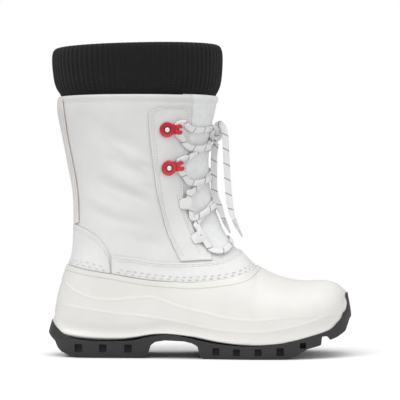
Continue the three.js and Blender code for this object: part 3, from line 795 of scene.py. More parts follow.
@dataclass(frozen=True)
class Knit:
    """Black rib knit, its stitches as small Vs, with painted shade in the hollows between them."""

    colour: Triple = (0.0085, 0.0085, 0.009)
    stitch: float = 1.5

    def make(self) -> Look:
        """Returns the material."""
        s = Shader("black knit", self.colour, 0.95)
        s.set("Specular IOR Level", 0.25)
        s.layer("Sheen", 0.06, 0.5)
        apart = s.node("ShaderNodeSeparateXYZ", Vector=s.cloth_place(1 / self.stitch, 1 / self.stitch))
        slant = s.off_middle(apart.outputs[0])
        loop = s.off_middle(s.math("ADD", apart.outputs[1], slant))
        s.bump(s.ramp(loop, 0.05, 0.5, 1.0, 0.0), 0.5, 0.8)
        s.bump(s.ramp(slant, 0.0, 0.5, 0.0, 1.0), 0.35, 0.6)
        # Painted shade: a darker colour where the stitches' bump is lowest, between the loops.
        deep = tuple(c * 0.45 for c in self.colour)
        s.set("Base Color", s.blend(s.ramp(loop, 0.2, 0.5, 0, 1), self.colour, deep))
        s.bump(s.noise(s.place(), 3.0, 3.0), 0.2, 0.5)
        return s.material


@dataclass(frozen=True)
class Enamel:
    """A coloured metal finish."""

    name: str
    colour: Triple
    metal: float
    roughness: float

    def make(self) -> Look:
        """Returns the material."""
        s = Shader(self.name, self.colour, self.roughness)
        s.set("Metallic", self.metal)
        s.layer("Coat", 0.4, 0.2)
        s.set("Base Color", s.mottle(self.colour, 0.12, 0.25))
        s.bump(s.noise(s.place(), 3.0, 3.0), 0.03, 0.5)
        return s.material


@dataclass(frozen=True)
class LaceWeave:
    """White flat lace in a herringbone weave, with dark slanting flecks."""

    colour: Triple = (0.75, 0.75, 0.75)
    fleck: Triple = (0.05, 0.05, 0.055)
    every: float = 14.2
    slant: float = 0.55
    rib: float = 1.1

    def make(self) -> Look:
        """Returns the material."""
        s = Shader("white lace", self.colour, 0.8)
        s.layer("Sheen", 0.3, 0.5)
        apart = s.node("ShaderNodeSeparateXYZ", Vector=s.cloth_place())
        along, across = apart.outputs[0], apart.outputs[1]
        lean = s.math("ADD", along, s.math("ABSOLUTE", across))
        ribs = s.off_middle(s.math("DIVIDE", lean, self.rib))
        s.bump(s.ramp(ribs, 0.0, 0.5, 1.0, 0.0), 0.22, 0.8)
        slanted = s.math("ADD", along, s.math("MULTIPLY", across, self.slant))
        dash = s.ramp(s.off_middle(s.math("DIVIDE", slanted, self.every)), 0.035, 0.06, 1.0, 0.0)
        dots = s.ramp(s.off_middle(s.math("DIVIDE", across, self.rib)), 0.2, 0.38, 1.0, 0.0)
        s.set("Base Color", s.blend(s.math("MULTIPLY", dash, dots), self.colour, self.fleck))
        s.bump(s.noise(s.place(), 4.0, 2.0), 0.08, 0.5)
        return s.material


class Wardrobe:
    """Every finish of the boot, made once."""

    def __init__(self) -> None:
        """Makes the materials."""
        self.sole = SoleRubber().make()
        # Near-black rubber for the deep faces of the sole's recesses: painted shade in the pockets.
        self.painted_recess_shade = SoleRubber((0.003, 0.003, 0.0035), 0.85).make()
        self.shell = ShellRubber().make()
        self.nylon = Nylon().make()
        self.leather = Leather().make()
        self.tongue = Cloth("white tongue cloth", (0.735, 0.738, 0.745), 0.3, 0.04).make()
        self.lining = Cloth("dark felt", (0.05, 0.05, 0.055), 1.4, 0.25, 0.95).make()
        self.knit = Knit().make()
        self.red = Enamel("red hook", (0.6, 0.022, 0.04), 0.4, 0.34).make()
        # Dark red for the rivets' flanges: painted shade in a ring round each rivet on its hook.
        self.rim = Enamel("dark red painted shade ring", (0.16, 0.012, 0.035), 0.6, 0.4).make()
        self.rivet = Enamel("off white rivet", (0.80, 0.79, 0.73), 0.15, 0.34).make()
        self.lace = LaceWeave().make()
        self.tip = Enamel("grey lace tip", (0.58, 0.58, 0.58), 0.05, 0.35).make()
        self.thread = Cloth("grey thread", (0.57, 0.58, 0.58), 0.3, 0.05, 0.7).make()
        self.coarse_thread = Cloth("coarse grey thread", (0.56, 0.57, 0.58), 0.4, 0.06, 0.7).make()
        # Grey for the cut edges, partly the edge's colour and partly painted shadow along the panel's edge.
        self.edge = Cloth("grey cut edge with painted shadow", (0.52, 0.52, 0.51), 0.5, 0.05, 0.8).make()
        self.tan = Cloth("tan cut edge", (0.70, 0.61, 0.54), 0.5, 0.05, 0.8).make()


# Panels on the last


@dataclass
class Edge:
    """A line over the last, as places along it and angles round it, with its run in millimetres."""

    places: Array
    run: Array = field(init=False)

    def __post_init__(self) -> None:
        """Measures the line."""
        self.run = run_along(LAST.point(self.places[:, 0], self.places[:, 1]))

    def at(self, share: Array) -> Array:
        """Gives the places at shares of the run."""
        where = np.asarray(share) * self.run[-1]
        return np.stack([np.interp(where, self.run, self.places[:, k]) for k in (0, 1)], axis=-1)

    @property
    def long(self) -> float:
        """The run's full length."""
        return float(self.run[-1])


def over_front(outer: Array, inner: Array) -> Edge:
    """Joins a line on both sides over the instep, from the outer heel end to the inner one."""
    return Edge(np.vstack([outer[::-1] * (1, OUTER), inner * (1, INNER)]))


def round_heel(outer: Array, inner: Array) -> Edge:
    """Joins a line on both sides round the heel, from the outer toe end to the inner one."""
    return Edge(np.vstack([outer * (1, OUTER), inner[::-1] - (0, 2 * math.pi)]))


@dataclass
class Panel:
    """A sewn leather panel between two edges, with rows of stitches."""

    name: str
    low: Edge
    high: Edge
    columns: int
    rows: int
    FACE = LEATHER + GAP

    def points(self, share: Array, up: Array, off: float) -> Array:
        """Gives points along the panel and up it, a distance outside the last."""
        low, high = self.low.at(share), self.high.at(share)
        places = low + (high - low) * np.asarray(up)[..., None]
        return LAST.skin(places[..., 0], places[..., 1], off)

    def build(self, look: Look) -> None:
        """Makes the panel as one wall with rounded edges."""
        share, up = np.meshgrid(np.linspace(0, 1, self.columns), np.linspace(0, 1, self.rows))
        points = self.points(share, up, self.FACE)
        wide = float(np.mean(np.linalg.norm(points[-1] - points[0], axis=-1)))
        long = (self.low.long + self.high.long) / 2
        obj = sheet(self.name, points, np.stack([share * long, up * wide], axis=-1))
        turn_out(obj)
        finish_wall(obj, LEATHER, 0.42)
        wear(obj, look, slot="leather", nodes=[self.name])

    def sewn(self, share: Array, up: Array, step: Pair) -> Array:
        """Gives the middles of stitches, the places a step on, and those a millimetre further out."""
        middle = self.points(share, up, self.FACE)
        after = self.points(share + step[0], up + step[1], self.FACE)
        return np.stack([middle, after, self.points(share, up, self.FACE + 1)])

    def seam(
        self, inset: float, from_top: bool, pitch: float, start: float = 0.0, ends: Pair = (0, 1)
    ) -> Array:
        """Gives the middles of stitches along an edge.

        Args:
            inset: How far in from the edge the seam lies.
            from_top: Whether it follows the high edge.
            pitch: The distance between stitches.
            start: Where the first one lies, as a share of the pitch.
            ends: The share of the edge that the seam covers.

        Returns:
            Places of the stitches, as sewn gives them.
        """
        edge = self.high if from_top else self.low
        first, last = ends[0] * edge.long + start * pitch + pitch, ends[1] * edge.long - pitch
        share = np.arange(first, last, pitch) / edge.long
        across = self.points(share, np.ones_like(share), 0) - self.points(share, np.zeros_like(share), 0)
        move = np.clip(inset / np.maximum(np.linalg.norm(across, axis=-1), 1e-3), 0, 0.5)
        return self.sewn(share, 1 - move if from_top else move, (STEP, 0))

    def cross(self, inset: float, pitch: float, ends: Pair) -> Array:
        """Gives the middles of stitches across the panel's far end, inset from it, between two shares."""
        far = 1 - inset / self.low.long
        row = self.points(np.full(40, far), np.linspace(*ends, 40), 0)
        count = int(np.linalg.norm(np.diff(row, axis=0), axis=-1).sum() / pitch) + 1
        return self.sewn(np.full(count, far), np.linspace(*ends, count), (0, STEP))


def line_seam(edge: Edge, pitch: float) -> Array:
    """Gives the middles of stitches along a line over the last, as Panel.sewn does."""
    share = np.arange(pitch, edge.long - pitch, pitch) / edge.long
    rows = []
    for step, more in ((0.0, 0.0), (STEP, 0.0), (0.0, 1.0)):
        places = edge.at(share + step)
        rows.append(LAST.skin(places[:, 0], places[:, 1], Panel.FACE + more))
    return np.stack(rows)


def ribbon(
    name: str, points: Array, out: Array, wide: Array | float, thick: Array | float, shift: float = 0.0
) -> Piece:
    """Sweeps a flat oval along a route.

    Args:
        name: The piece's name.
        points: The route, in millimetres.
        out: The directions out of the boot along it.
        wide: The oval's width, all along or at each point.
        thick: Its thickness.
        shift: Where its pattern starts.

    Returns:
        The piece.
    """
    sides, square, cap = 14, 0.75, 0.25
    turn = np.linspace(0, 2 * math.pi, sides + 1)[None, :]
    along = unit(np.gradient(points, axis=0))
    across = unit(np.cross(along, out))
    up = np.cross(across, along)
    half, deep = (np.full((len(points), 1), 0.5) * np.reshape(size, (-1, 1)) for size in (wide, thick))
    round_ = ((half, np.cos(turn)), (deep, np.sin(turn)))
    x, y = (size * np.sign(w) * np.abs(w) ** square for size, w in round_)
    grid = points[:, None] + across[:, None] * x[..., None] + up[:, None] * y[..., None]
    uv = np.stack(np.broadcast_arrays(run_along(points)[:, None] + shift, x), axis=-1)
    ends = [points[0] - along[0] * cap, points[-1] + along[-1] * cap]
    first, last = (np.repeat(e[None, None], sides + 1, 1) for e in ends)
    uv = np.concatenate([uv[:1], uv, uv[-1:]])
    obj = sheet(name, np.concatenate([first, grid, last]), uv, round_u=True)
    outward(obj)
    smooth(obj, 60)
    return obj


def raw_edge(name: str, edge: Edge, lift: float, wide: float, look: Look) -> None:
    """Draws the cut edge of a panel as a thin coloured line on the skin; a grey line is partly cut-edge
    colour and partly painted shadow along the panel's edge.
    """
    places = edge.at(np.linspace(0.004, 0.996, 160))
    points = LAST.skin(places[:, 0], places[:, 1], lift)
    obj = ribbon(name, points, LAST.normal(places[:, 0], places[:, 1]), wide, wide * 1.2)
    wear(obj, look, slot="leather")


def turn_out(obj: Piece) -> None:
    """Makes a sheet's faces point out of the boot, judged by its middle face and the last's normals."""
    face = obj.data.polygons[len(obj.data.polygons) // 2]
    at, angle = np.meshgrid(np.linspace(0, LAST.end, 200), np.linspace(-math.pi, math.pi, 180))
    gap = np.linalg.norm(LAST.point(at, angle) - np.array(face.center) / MM, axis=-1)
    best = np.unravel_index(np.argmin(gap), at.shape)
    if np.dot(LAST.normal(at[best], angle[best]), np.array(face.normal)) < 0:
        edit(obj, bpy.ops.mesh.flip_normals)


def stitches(name: str, seams: Sequence[Array], long: float, thick: float, look: Look) -> None:
    """Lays thread stitches along seams as one piece.

    Args:
        name: The piece's name.
        seams: Each seam's places: middles, next places, places further out.
        long: A stitch's length.
        thick: The thread's width.
        look: The thread's material.
    """
    rings = ((-0.5, 0.45), (-0.36, 0.9), (0.0, 1.0), (0.36, 0.9), (0.5, 0.45))
    sides, arched = 6, 0.18
    points: list[Array] = []
    faces: list[list[int]] = []
    for middle, after, above in seams:
        along, out = unit(after - middle), unit(above - middle)
        for m, a, o, c in zip(middle, along, out, np.cross(along, out)):
            base = len(points)
            for x, share in rings:
                swell, arch = share * thick / 2, arched * thick * (1 - 4 * x * x)
                for turn in (2 * math.pi * k / sides for k in range(sides)):
                    rise = swell * math.sin(turn) + arch
                    points.append(m + a * x * long + c * swell * math.cos(turn) + o * rise)
            faces += tube_faces(len(rings), sides, base)
            faces.append([base + k for k in reversed(range(sides))])
            faces.append([base + (len(rings) - 1) * sides + k for k in range(sides)])
    obj = from_faces(name, np.array(points), faces)
    outward(obj)
    smooth(obj, 60)
    wear(obj, look, slot="leather")


@dataclass(frozen=True)
class Crease:
    """A soft trough (negative) or ridge (positive) along a line of the side view."""

    points: Line
    wide: float
    deep: float
    side: int


CREASES = (
    Crease(((-98, 167), (-84, 161), (-68, 155), (-53, 149), (-45, 143)), 3.6, -2.1, OUTER),
    Crease(((-92, 176), (-76, 169), (-60, 162), (-48, 155)), 4.6, 1.9, OUTER),
    Crease(((-90, 189), (-76, 183), (-62, 177), (-50, 171)), 3.8, -1.8, OUTER),
    Crease(((-88, 198), (-72, 193), (-58, 186), (-49, 181)), 5.0, 1.4, OUTER),
    Crease(((-60, 182.4), (-51, 179), (-43.7, 176)), 2.0, -1.3, OUTER),
    Crease(((-59, 161.5), (-51, 160.2), (-42.8, 158)), 1.9, -1.3, OUTER),
    Crease(((-104, 222), (-86, 208), (-68, 200), (-52, 197)), 8.0, -1.8, OUTER),
    Crease(((-108, 156), (-94, 146), (-76, 139), (-56, 134)), 5.0, 1.4, OUTER),
    Crease(((-110, 146), (-92, 135), (-72, 128), (-44, 124)), 4.6, -1.6, OUTER),
    Crease(((-74, 118), (-60, 112), (-46, 108), (-34, 107)), 4.5, -1.1, OUTER),
    Crease(((-96, 206), (-84, 196), (-74, 190), (-66, 187)), 3.4, -1.1, OUTER),
    Crease(((-112, 190), (-90, 170), (-66, 158), (-44, 152)), 5.5, -2.2, INNER),
    Crease(((-106, 208), (-84, 188), (-62, 174), (-46, 166)), 5.5, 1.8, INNER),
    Crease(((-110, 160), (-88, 142), (-64, 130), (-40, 124)), 5.0, -2.1, INNER),
    Crease(((-100, 230), (-82, 214), (-64, 204), (-50, 200)), 6.0, -1.4, INNER),
)


def creased(points: Array) -> Array:
    """Gives how far the shaft's cloth stands out at each point, from the list of creases."""
    total = np.zeros(points.shape[:-1])
    x, y, z = np.moveaxis(points, -1, 0)
    for crease in CREASES:
        line = spline(np.array(crease.points), 8)
        away, along = np.full(x.shape, 1e9), np.zeros(x.shape)
        for (px, pz), share in zip(line, np.linspace(0, 1, len(line))):
            near = (x - px) ** 2 + (z - pz) ** 2
            along = np.where(near < away, share, along)
            away = np.minimum(away, near)
        fade = np.sin(np.pi * np.clip(along, 0.02, 0.98)) ** 0.6
        facing = smoothstep(crease.side * y, 4, 16)
        total += crease.deep * np.exp(-away / crease.wide**2) * fade * facing
    return total


def rolled(below: Array) -> Array:
    """Gives how far the shaft's folded rim stands out, at depths below its top."""
    return 0.9 * np.exp(-(((below - 2.2) / 2.8) ** 2)) - 0.5 * np.exp(-(((below - 6.6) / 1.0) ** 2))


class Upper:
    """The hollow upper with its shaft, its rim and its throat."""

    ROWS, COLUMNS = 150, 170

    @staticmethod
    def opening(at: Array, side: int) -> Array:
        """Gives the angle where the throat's edge crosses each row, 0 where a row has no throat."""
        traced = LAST.trace(throat(), side)
        return np.interp(at, traced[:, 0], traced[:, 1], left=0.0)

    @staticmethod
    def top_row(angle: Array, high: Array | float) -> Array:
        """Gives the place along the last that reaches a height, at each angle."""
        low, top = np.full(np.shape(angle), 18.0), np.full(np.shape(angle), float(LAST.end))
        for _ in range(24):
            middle = (low + top) / 2
            under = LAST.point(middle, angle)[..., 2] < high
            low, top = np.where(under, middle, low), np.where(under, top, middle)
        return low

    def grid(self) -> tuple[Array, Array]:
        """Lays a grid from the toe to the shaft's top, round the back between the throat's edges.

        Returns:
            The places and the angles.
        """
        share = np.linspace(0, 1, self.ROWS)[:, None]
        across = np.linspace(0, 1, self.COLUMNS)[None, :]
        at = SHAFT_ROW * share * np.ones_like(across)
        for _ in range(4):
            first = -self.opening(at, OUTER)
            last = self.opening(at, INNER) - 2 * math.pi
            angle = first + (last - first) * across
            reach = self.top_row(angle, SHAFT_TOP - 0.2)
            at = SHAFT_ROW * share + (reach - SHAFT_ROW) * smoothstep(share, 0.55, 1.0)
        return at, angle

    def build(self, w: Wardrobe) -> None:
        """Makes the upper with its rolled rim and creases."""
        at, angle = self.grid()
        base = LAST.point(at, angle)
        high = base[..., 2]
        points = LAST.skin(at, angle, creased(base) + rolled(SHAFT_TOP - high) * smoothstep(high, 200, 230))
        across, tall = run_along(points, 1), run_along(points)
        middle, quarter = self.COLUMNS // 2, self.COLUMNS // 4
        rise = np.broadcast_to(tall[:, quarter : quarter + 1], tall.shape)
        uv = np.stack([across - across[:, middle : middle + 1], rise], axis=-1)
        obj = sheet("shaft_and_foot", points, uv, round_u=True)
        turn_out(obj)
        obj.data.materials.append(w.nylon)
        obj.data.materials.append(w.lining)
        finish_wall(obj, WALL, 0.7, 1)
        wear(obj, w.nylon, w.lining, slot="nylon", nodes=["upper"])


class ShoeShell:
    """The moulded rubber cup round the foot, with its lip and relief lines."""

    WAVE_HIGH: Line = (
        (-126, 70), (-117, 63), (-101, 57), (-83, 55.2), (-64, 56.6), (-49, 58), (-37, 55.3), (-19, 48.8),
        (5, 43.2), (20, 39.5), (39, 37.2), (55, 36.8), (72, 38.5),
    )
    WAVE_LOW: Line = (
        (-124, 49.5), (-101, 45.8), (-83, 43), (-55, 40.2), (-30, 36.6), (-1, 30.8), (20, 27.2), (50, 25.8),
        (70, 27.6), (91, 31.8), (116, 39.6),
    )
    ROWS, COLUMNS = 150, 180
    TIP, TIP_START = 0.08, -0.9  # the share of the rows that close the toe, and the place of the first

    def build(self, w: Wardrobe) -> None:
        """Makes the shell as one wall, open at the top, whose first rows close the toe."""
        level = over(SHELL_LINE)
        edges = [LAST.trace(level, side) for side in (OUTER, INNER)]
        end = min(e[-1, 0] for e in edges) - 0.002
        share = np.linspace(0, 1, self.ROWS)
        tip_rows = self.TIP_START * (1 - share / self.TIP)
        rows = end * np.sin(0.4995 * np.pi * (share - self.TIP) / (1 - self.TIP))
        at = np.where(share < self.TIP, tip_rows, rows)[:, None]
        turn = np.linspace(0, 1, self.COLUMNS)[None, :]
        first, last = (np.interp(at, e[:, 0], e[:, 1], left=0.0) for e in edges)
        angle = -first + (last - 2 * math.pi + first) * turn
        off = SHELL_WALL + GAP
        points = LAST.skin(np.maximum(at, 0), angle, off)
        tip = np.array(TOE_TIP) + (off, 0, 0)
        cap = np.clip(1 - at / self.TIP_START, 0, 1)[..., None]
        closed = tip + (points - tip) * np.concatenate([cap**2, cap, cap], axis=-1)
        obj = sheet("moulded_shell", self.flared(np.where(at[..., None] < 0, closed, points)), round_u=True)
        where = np.empty(len(obj.data.vertices) * 3)
        obj.data.vertices.foreach_get("co", where)
        where = where.reshape(-1, 3) / MM
        mark(obj, "drop", -level(where))
        mark(obj, "wave_high", self.wave(where, self.WAVE_HIGH))
        mark(obj, "wave_low", self.wave(where, self.WAVE_LOW))
        turn_out(obj)
        finish_wall(obj, SHELL_WALL, 0.6)
        wear(obj, w.shell, slot="rubber_shell", nodes=["shell"])

    @staticmethod
    def flared(points: Array) -> Array:
        """Draws the wall out to just inside the sole's side, near the sole's top edge."""
        sole = Outsole()
        edge = np.array(sorted(sole.EDGE))
        rise = points[..., 2] - np.interp(points[..., 0], edge[:, 0], edge[:, 1])
        share = (1 - smoothstep(rise, 0.5, 15)) * smoothstep(rise, -8, -2)
        out = points.copy()
        for level in np.arange(10.0, 70.0, 2.0):
            rows = np.abs(points[..., 2] - level) <= 1.0
            ring = sole.plan(lambda x, z=level: sole.inset(x, z) + 0.7, 400)
            ring = resample(np.vstack([ring, ring[:1]]), 1600)
            here = points[rows][:, :2]
            gap = np.linalg.norm(here[:, None] - ring[None], axis=-1)
            pull = share[rows] * (1 - smoothstep(gap.min(axis=1), 7, 16))
            out[..., :2][rows] = here + (ring[np.argmin(gap, axis=1)] - here) * pull[:, None]
        return out

    @staticmethod
    def wave(points: Array, line: Line) -> Array:
        """Gives the height over a relief line, growing fast past its ends so that it fades there."""
        curve = spline(np.array(line), 10)
        away = points[:, 2] - np.interp(points[:, 0], curve[:, 0], curve[:, 1])
        past = np.maximum(curve[0, 0] - points[:, 0], 0) + np.maximum(points[:, 0] - curve[-1, 0], 0)
        return away + np.sign(away + 1e-9) * past * 0.35


class LeatherWork:
    """The band, counter, backstay and eyestays, with their stitching and cut edges."""

    FRONT: Line = ((-7.8, 240), *THROAT_EDGE[1:], (10.6, 96), (11, 89))
    BEHIND_LOOPS: Line = ((-24, 164), (-22.4, 152.6), (-20.6, 146.1), (-14, 126), (-5.7, 109.1), (0.6, 94))

    def __init__(self) -> None:
        """Works out the panels' edges from the side lines."""
        low, high, heel_low, heel_high, stays = [], [], [], [], []
        self.eyestays = {}
        for side, word in SIDES:
            shell = LAST.trace(over(SHELL_LINE, GAP + 0.1), side)
            low.append(clip_trace(shell, side, 0, -82.2, 90))
            high.append(clip_trace(LAST.trace(over(BAND_SEAM), side), side, 0, -81.6, 90))
            heel_low.append(clip_trace(shell, side, 0, -200, -83.6))
            rear = LAST.trace(ahead(((-83.4, 60), *COUNTER_LINE)), side)
            heel_high.append(clip_trace(rear, side, 2, 92, 126.6))
            stays.append(clip_trace(LAST.trace(ahead(BACKSTAY_EDGE), side), side, 2, 127.4, 244.6))
            back = clip_trace(LAST.trace(ahead(EYESTAY_REAR), side), side, 2, 90.6, 234)
            front = clip_trace(LAST.trace(ahead(self.FRONT, -0.2), side), side, 2, 91.4, 234)
            panel = Panel(f"eyestay_{word}", Edge(back * (1, side)), Edge(front * (1, side)), 150, 26)
            self.eyestays[side] = self.rounded(panel)
        self.band = Panel("leather_band", over_front(*low), over_front(*high), 260, 16)
        self.counter = Panel("heel_counter", round_heel(*heel_low), round_heel(*heel_high), 130, 26)
        inner = stays[1] - (0, 2 * math.pi)
        self.backstay = Panel("backstay", Edge(stays[0] * (1, OUTER)), Edge(inner), 100, 36)

    @staticmethod
    def rounded(panel: Panel) -> Panel:
        """Rounds the eyestay's top corners by drawing both edges together over the last stretch."""
        stretch, most = 0.055, 0.26
        share = 1 - (1 - np.linspace(0, 1, 400)) ** 1.6
        low, high = panel.low.at(share), panel.high.at(share)
        top = np.clip((share - 1 + stretch) / stretch, 0, 1)
        pull = (1 - np.sqrt(1 - top**2))[:, None] * most
        panel.low, panel.high = Edge(low + (high - low) * pull), Edge(high + (low - high) * pull)
        return panel

    def build(self, w: Wardrobe) -> None:
        """Makes the panels and their stitches."""
        for panel in (self.band, self.counter, self.backstay, *self.eyestays.values()):
            panel.build(w.leather)
        coarse, insets = 6.8, ((2.8, 0), (6.0, 0.5))
        rows = [p.seam(i, False, coarse, k) for p in (self.band, self.counter) for i, k in insets]
        stitches("shell_edge_stitches", rows, 3.2, 1.15, w.coarse_thread)
        fine, fine_size = 2.8, (1.9, 0.75)
        rows = [self.band.seam(1.9, True, fine), self.band.seam(4.0, True, fine, 0.5)]
        stitches("band_stitches", rows, *fine_size, w.thread)
        rows = [self.counter.seam(inset, True, fine) for inset in (2.0, 4.4)]
        rows += [self.backstay.seam(2.2, top, fine) for top in (True, False)]
        stitches("heel_stitches", rows, *fine_size, w.thread)
        raw_edge("backstay_edge_outer", self.backstay.low, LEATHER + 0.1, 0.9, w.tan)
        raw_edge("backstay_edge_inner", self.backstay.high, LEATHER + 0.1, 0.9, w.tan)
        # Grey line at the counter's edge: cut-edge colour and painted shadow.
        raw_edge("counter_edge", self.counter.high, 0.6, 0.55, w.edge)
        for side, word in SIDES:
            panel = self.eyestays[side]
            rows = [panel.seam(i, top, fine, 0.0, (0.02, 0.97)) for i in (1.9, 4.2) for top in (True, False)]
            rows += [panel.cross(i, fine, (0.2, 0.86)) for i in (2.6, 5.0)]
            behind = clip_trace(LAST.trace(ahead(self.BEHIND_LOOPS), side), side, 2, 96, 156)
            rows.append(line_seam(Edge(behind * (1, side)), fine))
            stitches(f"eyestay_stitches_{word}", rows, *fine_size, w.thread)
            # Grey line at the eyestay's rear edge: cut-edge colour and painted shadow.
            raw_edge(f"eyestay_edge_{word}", panel.low, 0.55, 0.75, w.edge)


class Tongue:
    """The padded tongue in the throat."""

    ROWS, COLUMNS = 130, 60
    FIRST_ROW = 8.45
    UNDER = 0.13  # how far it reaches under the throat's edge, as an angle
    PAD = 4.0

    def build(self, w: Wardrobe) -> None:
        """Makes the tongue as a soft pad tucked under the throat's edges."""
        share = np.linspace(0, 1, self.ROWS)[:, None] * np.ones((1, self.COLUMNS))
        across = np.linspace(-1, 1, self.COLUMNS)[None, :] * np.ones((self.ROWS, 1))
        plain = self.FIRST_ROW + (SHAFT_ROW - self.FIRST_ROW) * share
        at = plain
        for _ in range(3):
            edge = np.where(across < 0, Upper.opening(at, OUTER), Upper.opening(at, INNER))
            angle = across * (edge + self.UNDER)
            reach = Upper.top_row(angle, SHAFT_TOP + 0.5)
            at = plain + (reach - SHAFT_ROW) * smoothstep(share, 0.6, 1.0)
        tuck = smoothstep(np.abs(angle), edge - 0.022, edge + 0.012)
        quilt = 0.25 * np.cos(2 * math.pi * (share * 7 - 0.3)) * (1 - across**2)
        below = SHAFT_TOP - LAST.point(at, angle)[..., 2]
        off = rolled(below) - 0.1 - tuck * (WALL + GAP) + quilt * (1 - smoothstep(share, 0.75, 0.9))
        obj = sheet("padded_tongue", LAST.skin(at, angle, off), np.stack([across * 30, share * 160], axis=-1))
        turn_out(obj)
        finish_wall(obj, self.PAD, 1.6, 1)
        wear(obj, w.tongue, w.lining, slot="tongue", nodes=["tongue"])


class Cuff:
    """The rib-knit cuff that stands out of the shaft."""

    RIBS = 84
    ROWS, FOLD_ROW = 84, 44
    PROFILE: Line = (
        (226, -3.0), (240, -2.8), (245, -2.5), (248.5, -1.6), (253, 0.4), (262, 2.3), (275, 3.3),
        (285.6, 3.4), (291.6, 2.5), (294.8, 0.5), (295.9, -2.4), (294.6, -5.4), (291, -7.4), (283, -8.6),
        (262, -9.2),
        (240, -9.4), (226, -9.5),
    )
    TILT = 0.025

    def build(self, w: Wardrobe) -> None:
        """Makes the cuff's ribs round a folded wall."""
        angle = np.linspace(0, 2 * math.pi, self.RIBS * 8 + 1)[None, :]
        wall = resample(spline(np.array(self.PROFILE), 6), self.ROWS)
        z, away = wall[:, :1], wall[:, 1:]
        z_all, angle_all = np.broadcast_arrays(z, angle)
        at = Upper.top_row(angle_all, z_all)
        base = LAST.point(at, angle)
        run = run_along(base[40])
        ribs = 0.34 * np.cos(2 * math.pi * self.RIBS * run / run[-1])[None, :] - 0.2
        side = np.where(np.arange(self.ROWS)[:, None] < self.FOLD_ROW, 1, 0.6)
        sag = 0.28 * np.sin(3 * angle + 0.6) * smoothstep(z, 255, 285)
        away = away + ribs * smoothstep(z, 247.5, 252) * side + sag
        points = base + unit(LAST.normal(at, angle_all) * (1, 1, 0)) * away[..., None]
        points[..., 2] = z + self.TILT * (points[..., 0] - 15) * np.clip((z - 250) / 30, 0, 1)
        points = np.concatenate([points, points[:1]], axis=0)
        uv = np.stack(np.broadcast_arrays(run[None, :], run_along(points[:, 0])[:, None]), axis=-1)
        obj = sheet("knit_cuff", points, uv, round_u=True)
        outward(obj)
        smooth(obj, 180)
        wear(obj, w.knit, slot="knit", nodes=["cuff"])


def filleted(line: Line, radius: float) -> list[Pair]:
    """Rounds the corners of a polyline.

    Args:
        line: The points.
        radius: How far from a corner its rounding starts.

    Returns:
        The rounded polyline.
    """
    p = np.array(line, float)
    out = [p[0]]
    for a, b, c in zip(p[:-2], p[1:-1], p[2:]):
        back, on = a - b, c - b
        near = b + back / np.linalg.norm(back) * min(radius, np.linalg.norm(back) * 0.4)
        far = b + on / np.linalg.norm(on) * min(radius, np.linalg.norm(on) * 0.4)
        out += [(1 - t) ** 2 * near + 2 * t * (1 - t) * b + t * t * far for t in (0.0, 0.33, 0.67, 1.0)]
    out.append(p[-1])
    return [(float(x), float(z)) for x, z in out]


def prism(name: str, plans: Sequence[tuple[Array, float]]) -> Piece:
    """Stacks closed plans into a solid.

    Args:
        name: The solid's name.
        plans: Each plan's points as (x, y), with its height.

    Returns:
        The solid.
    """
    count = len(plans[0][0])
    points = np.vstack([np.column_stack([plan, np.full(count, z)]) for plan, z in plans])
    ends = [list(range(count))[::-1], [count * (len(plans) - 1) + k for k in range(count)]]
    obj = from_faces(name, points, ends + tube_faces(len(plans), count))
    outward(obj)
    return obj


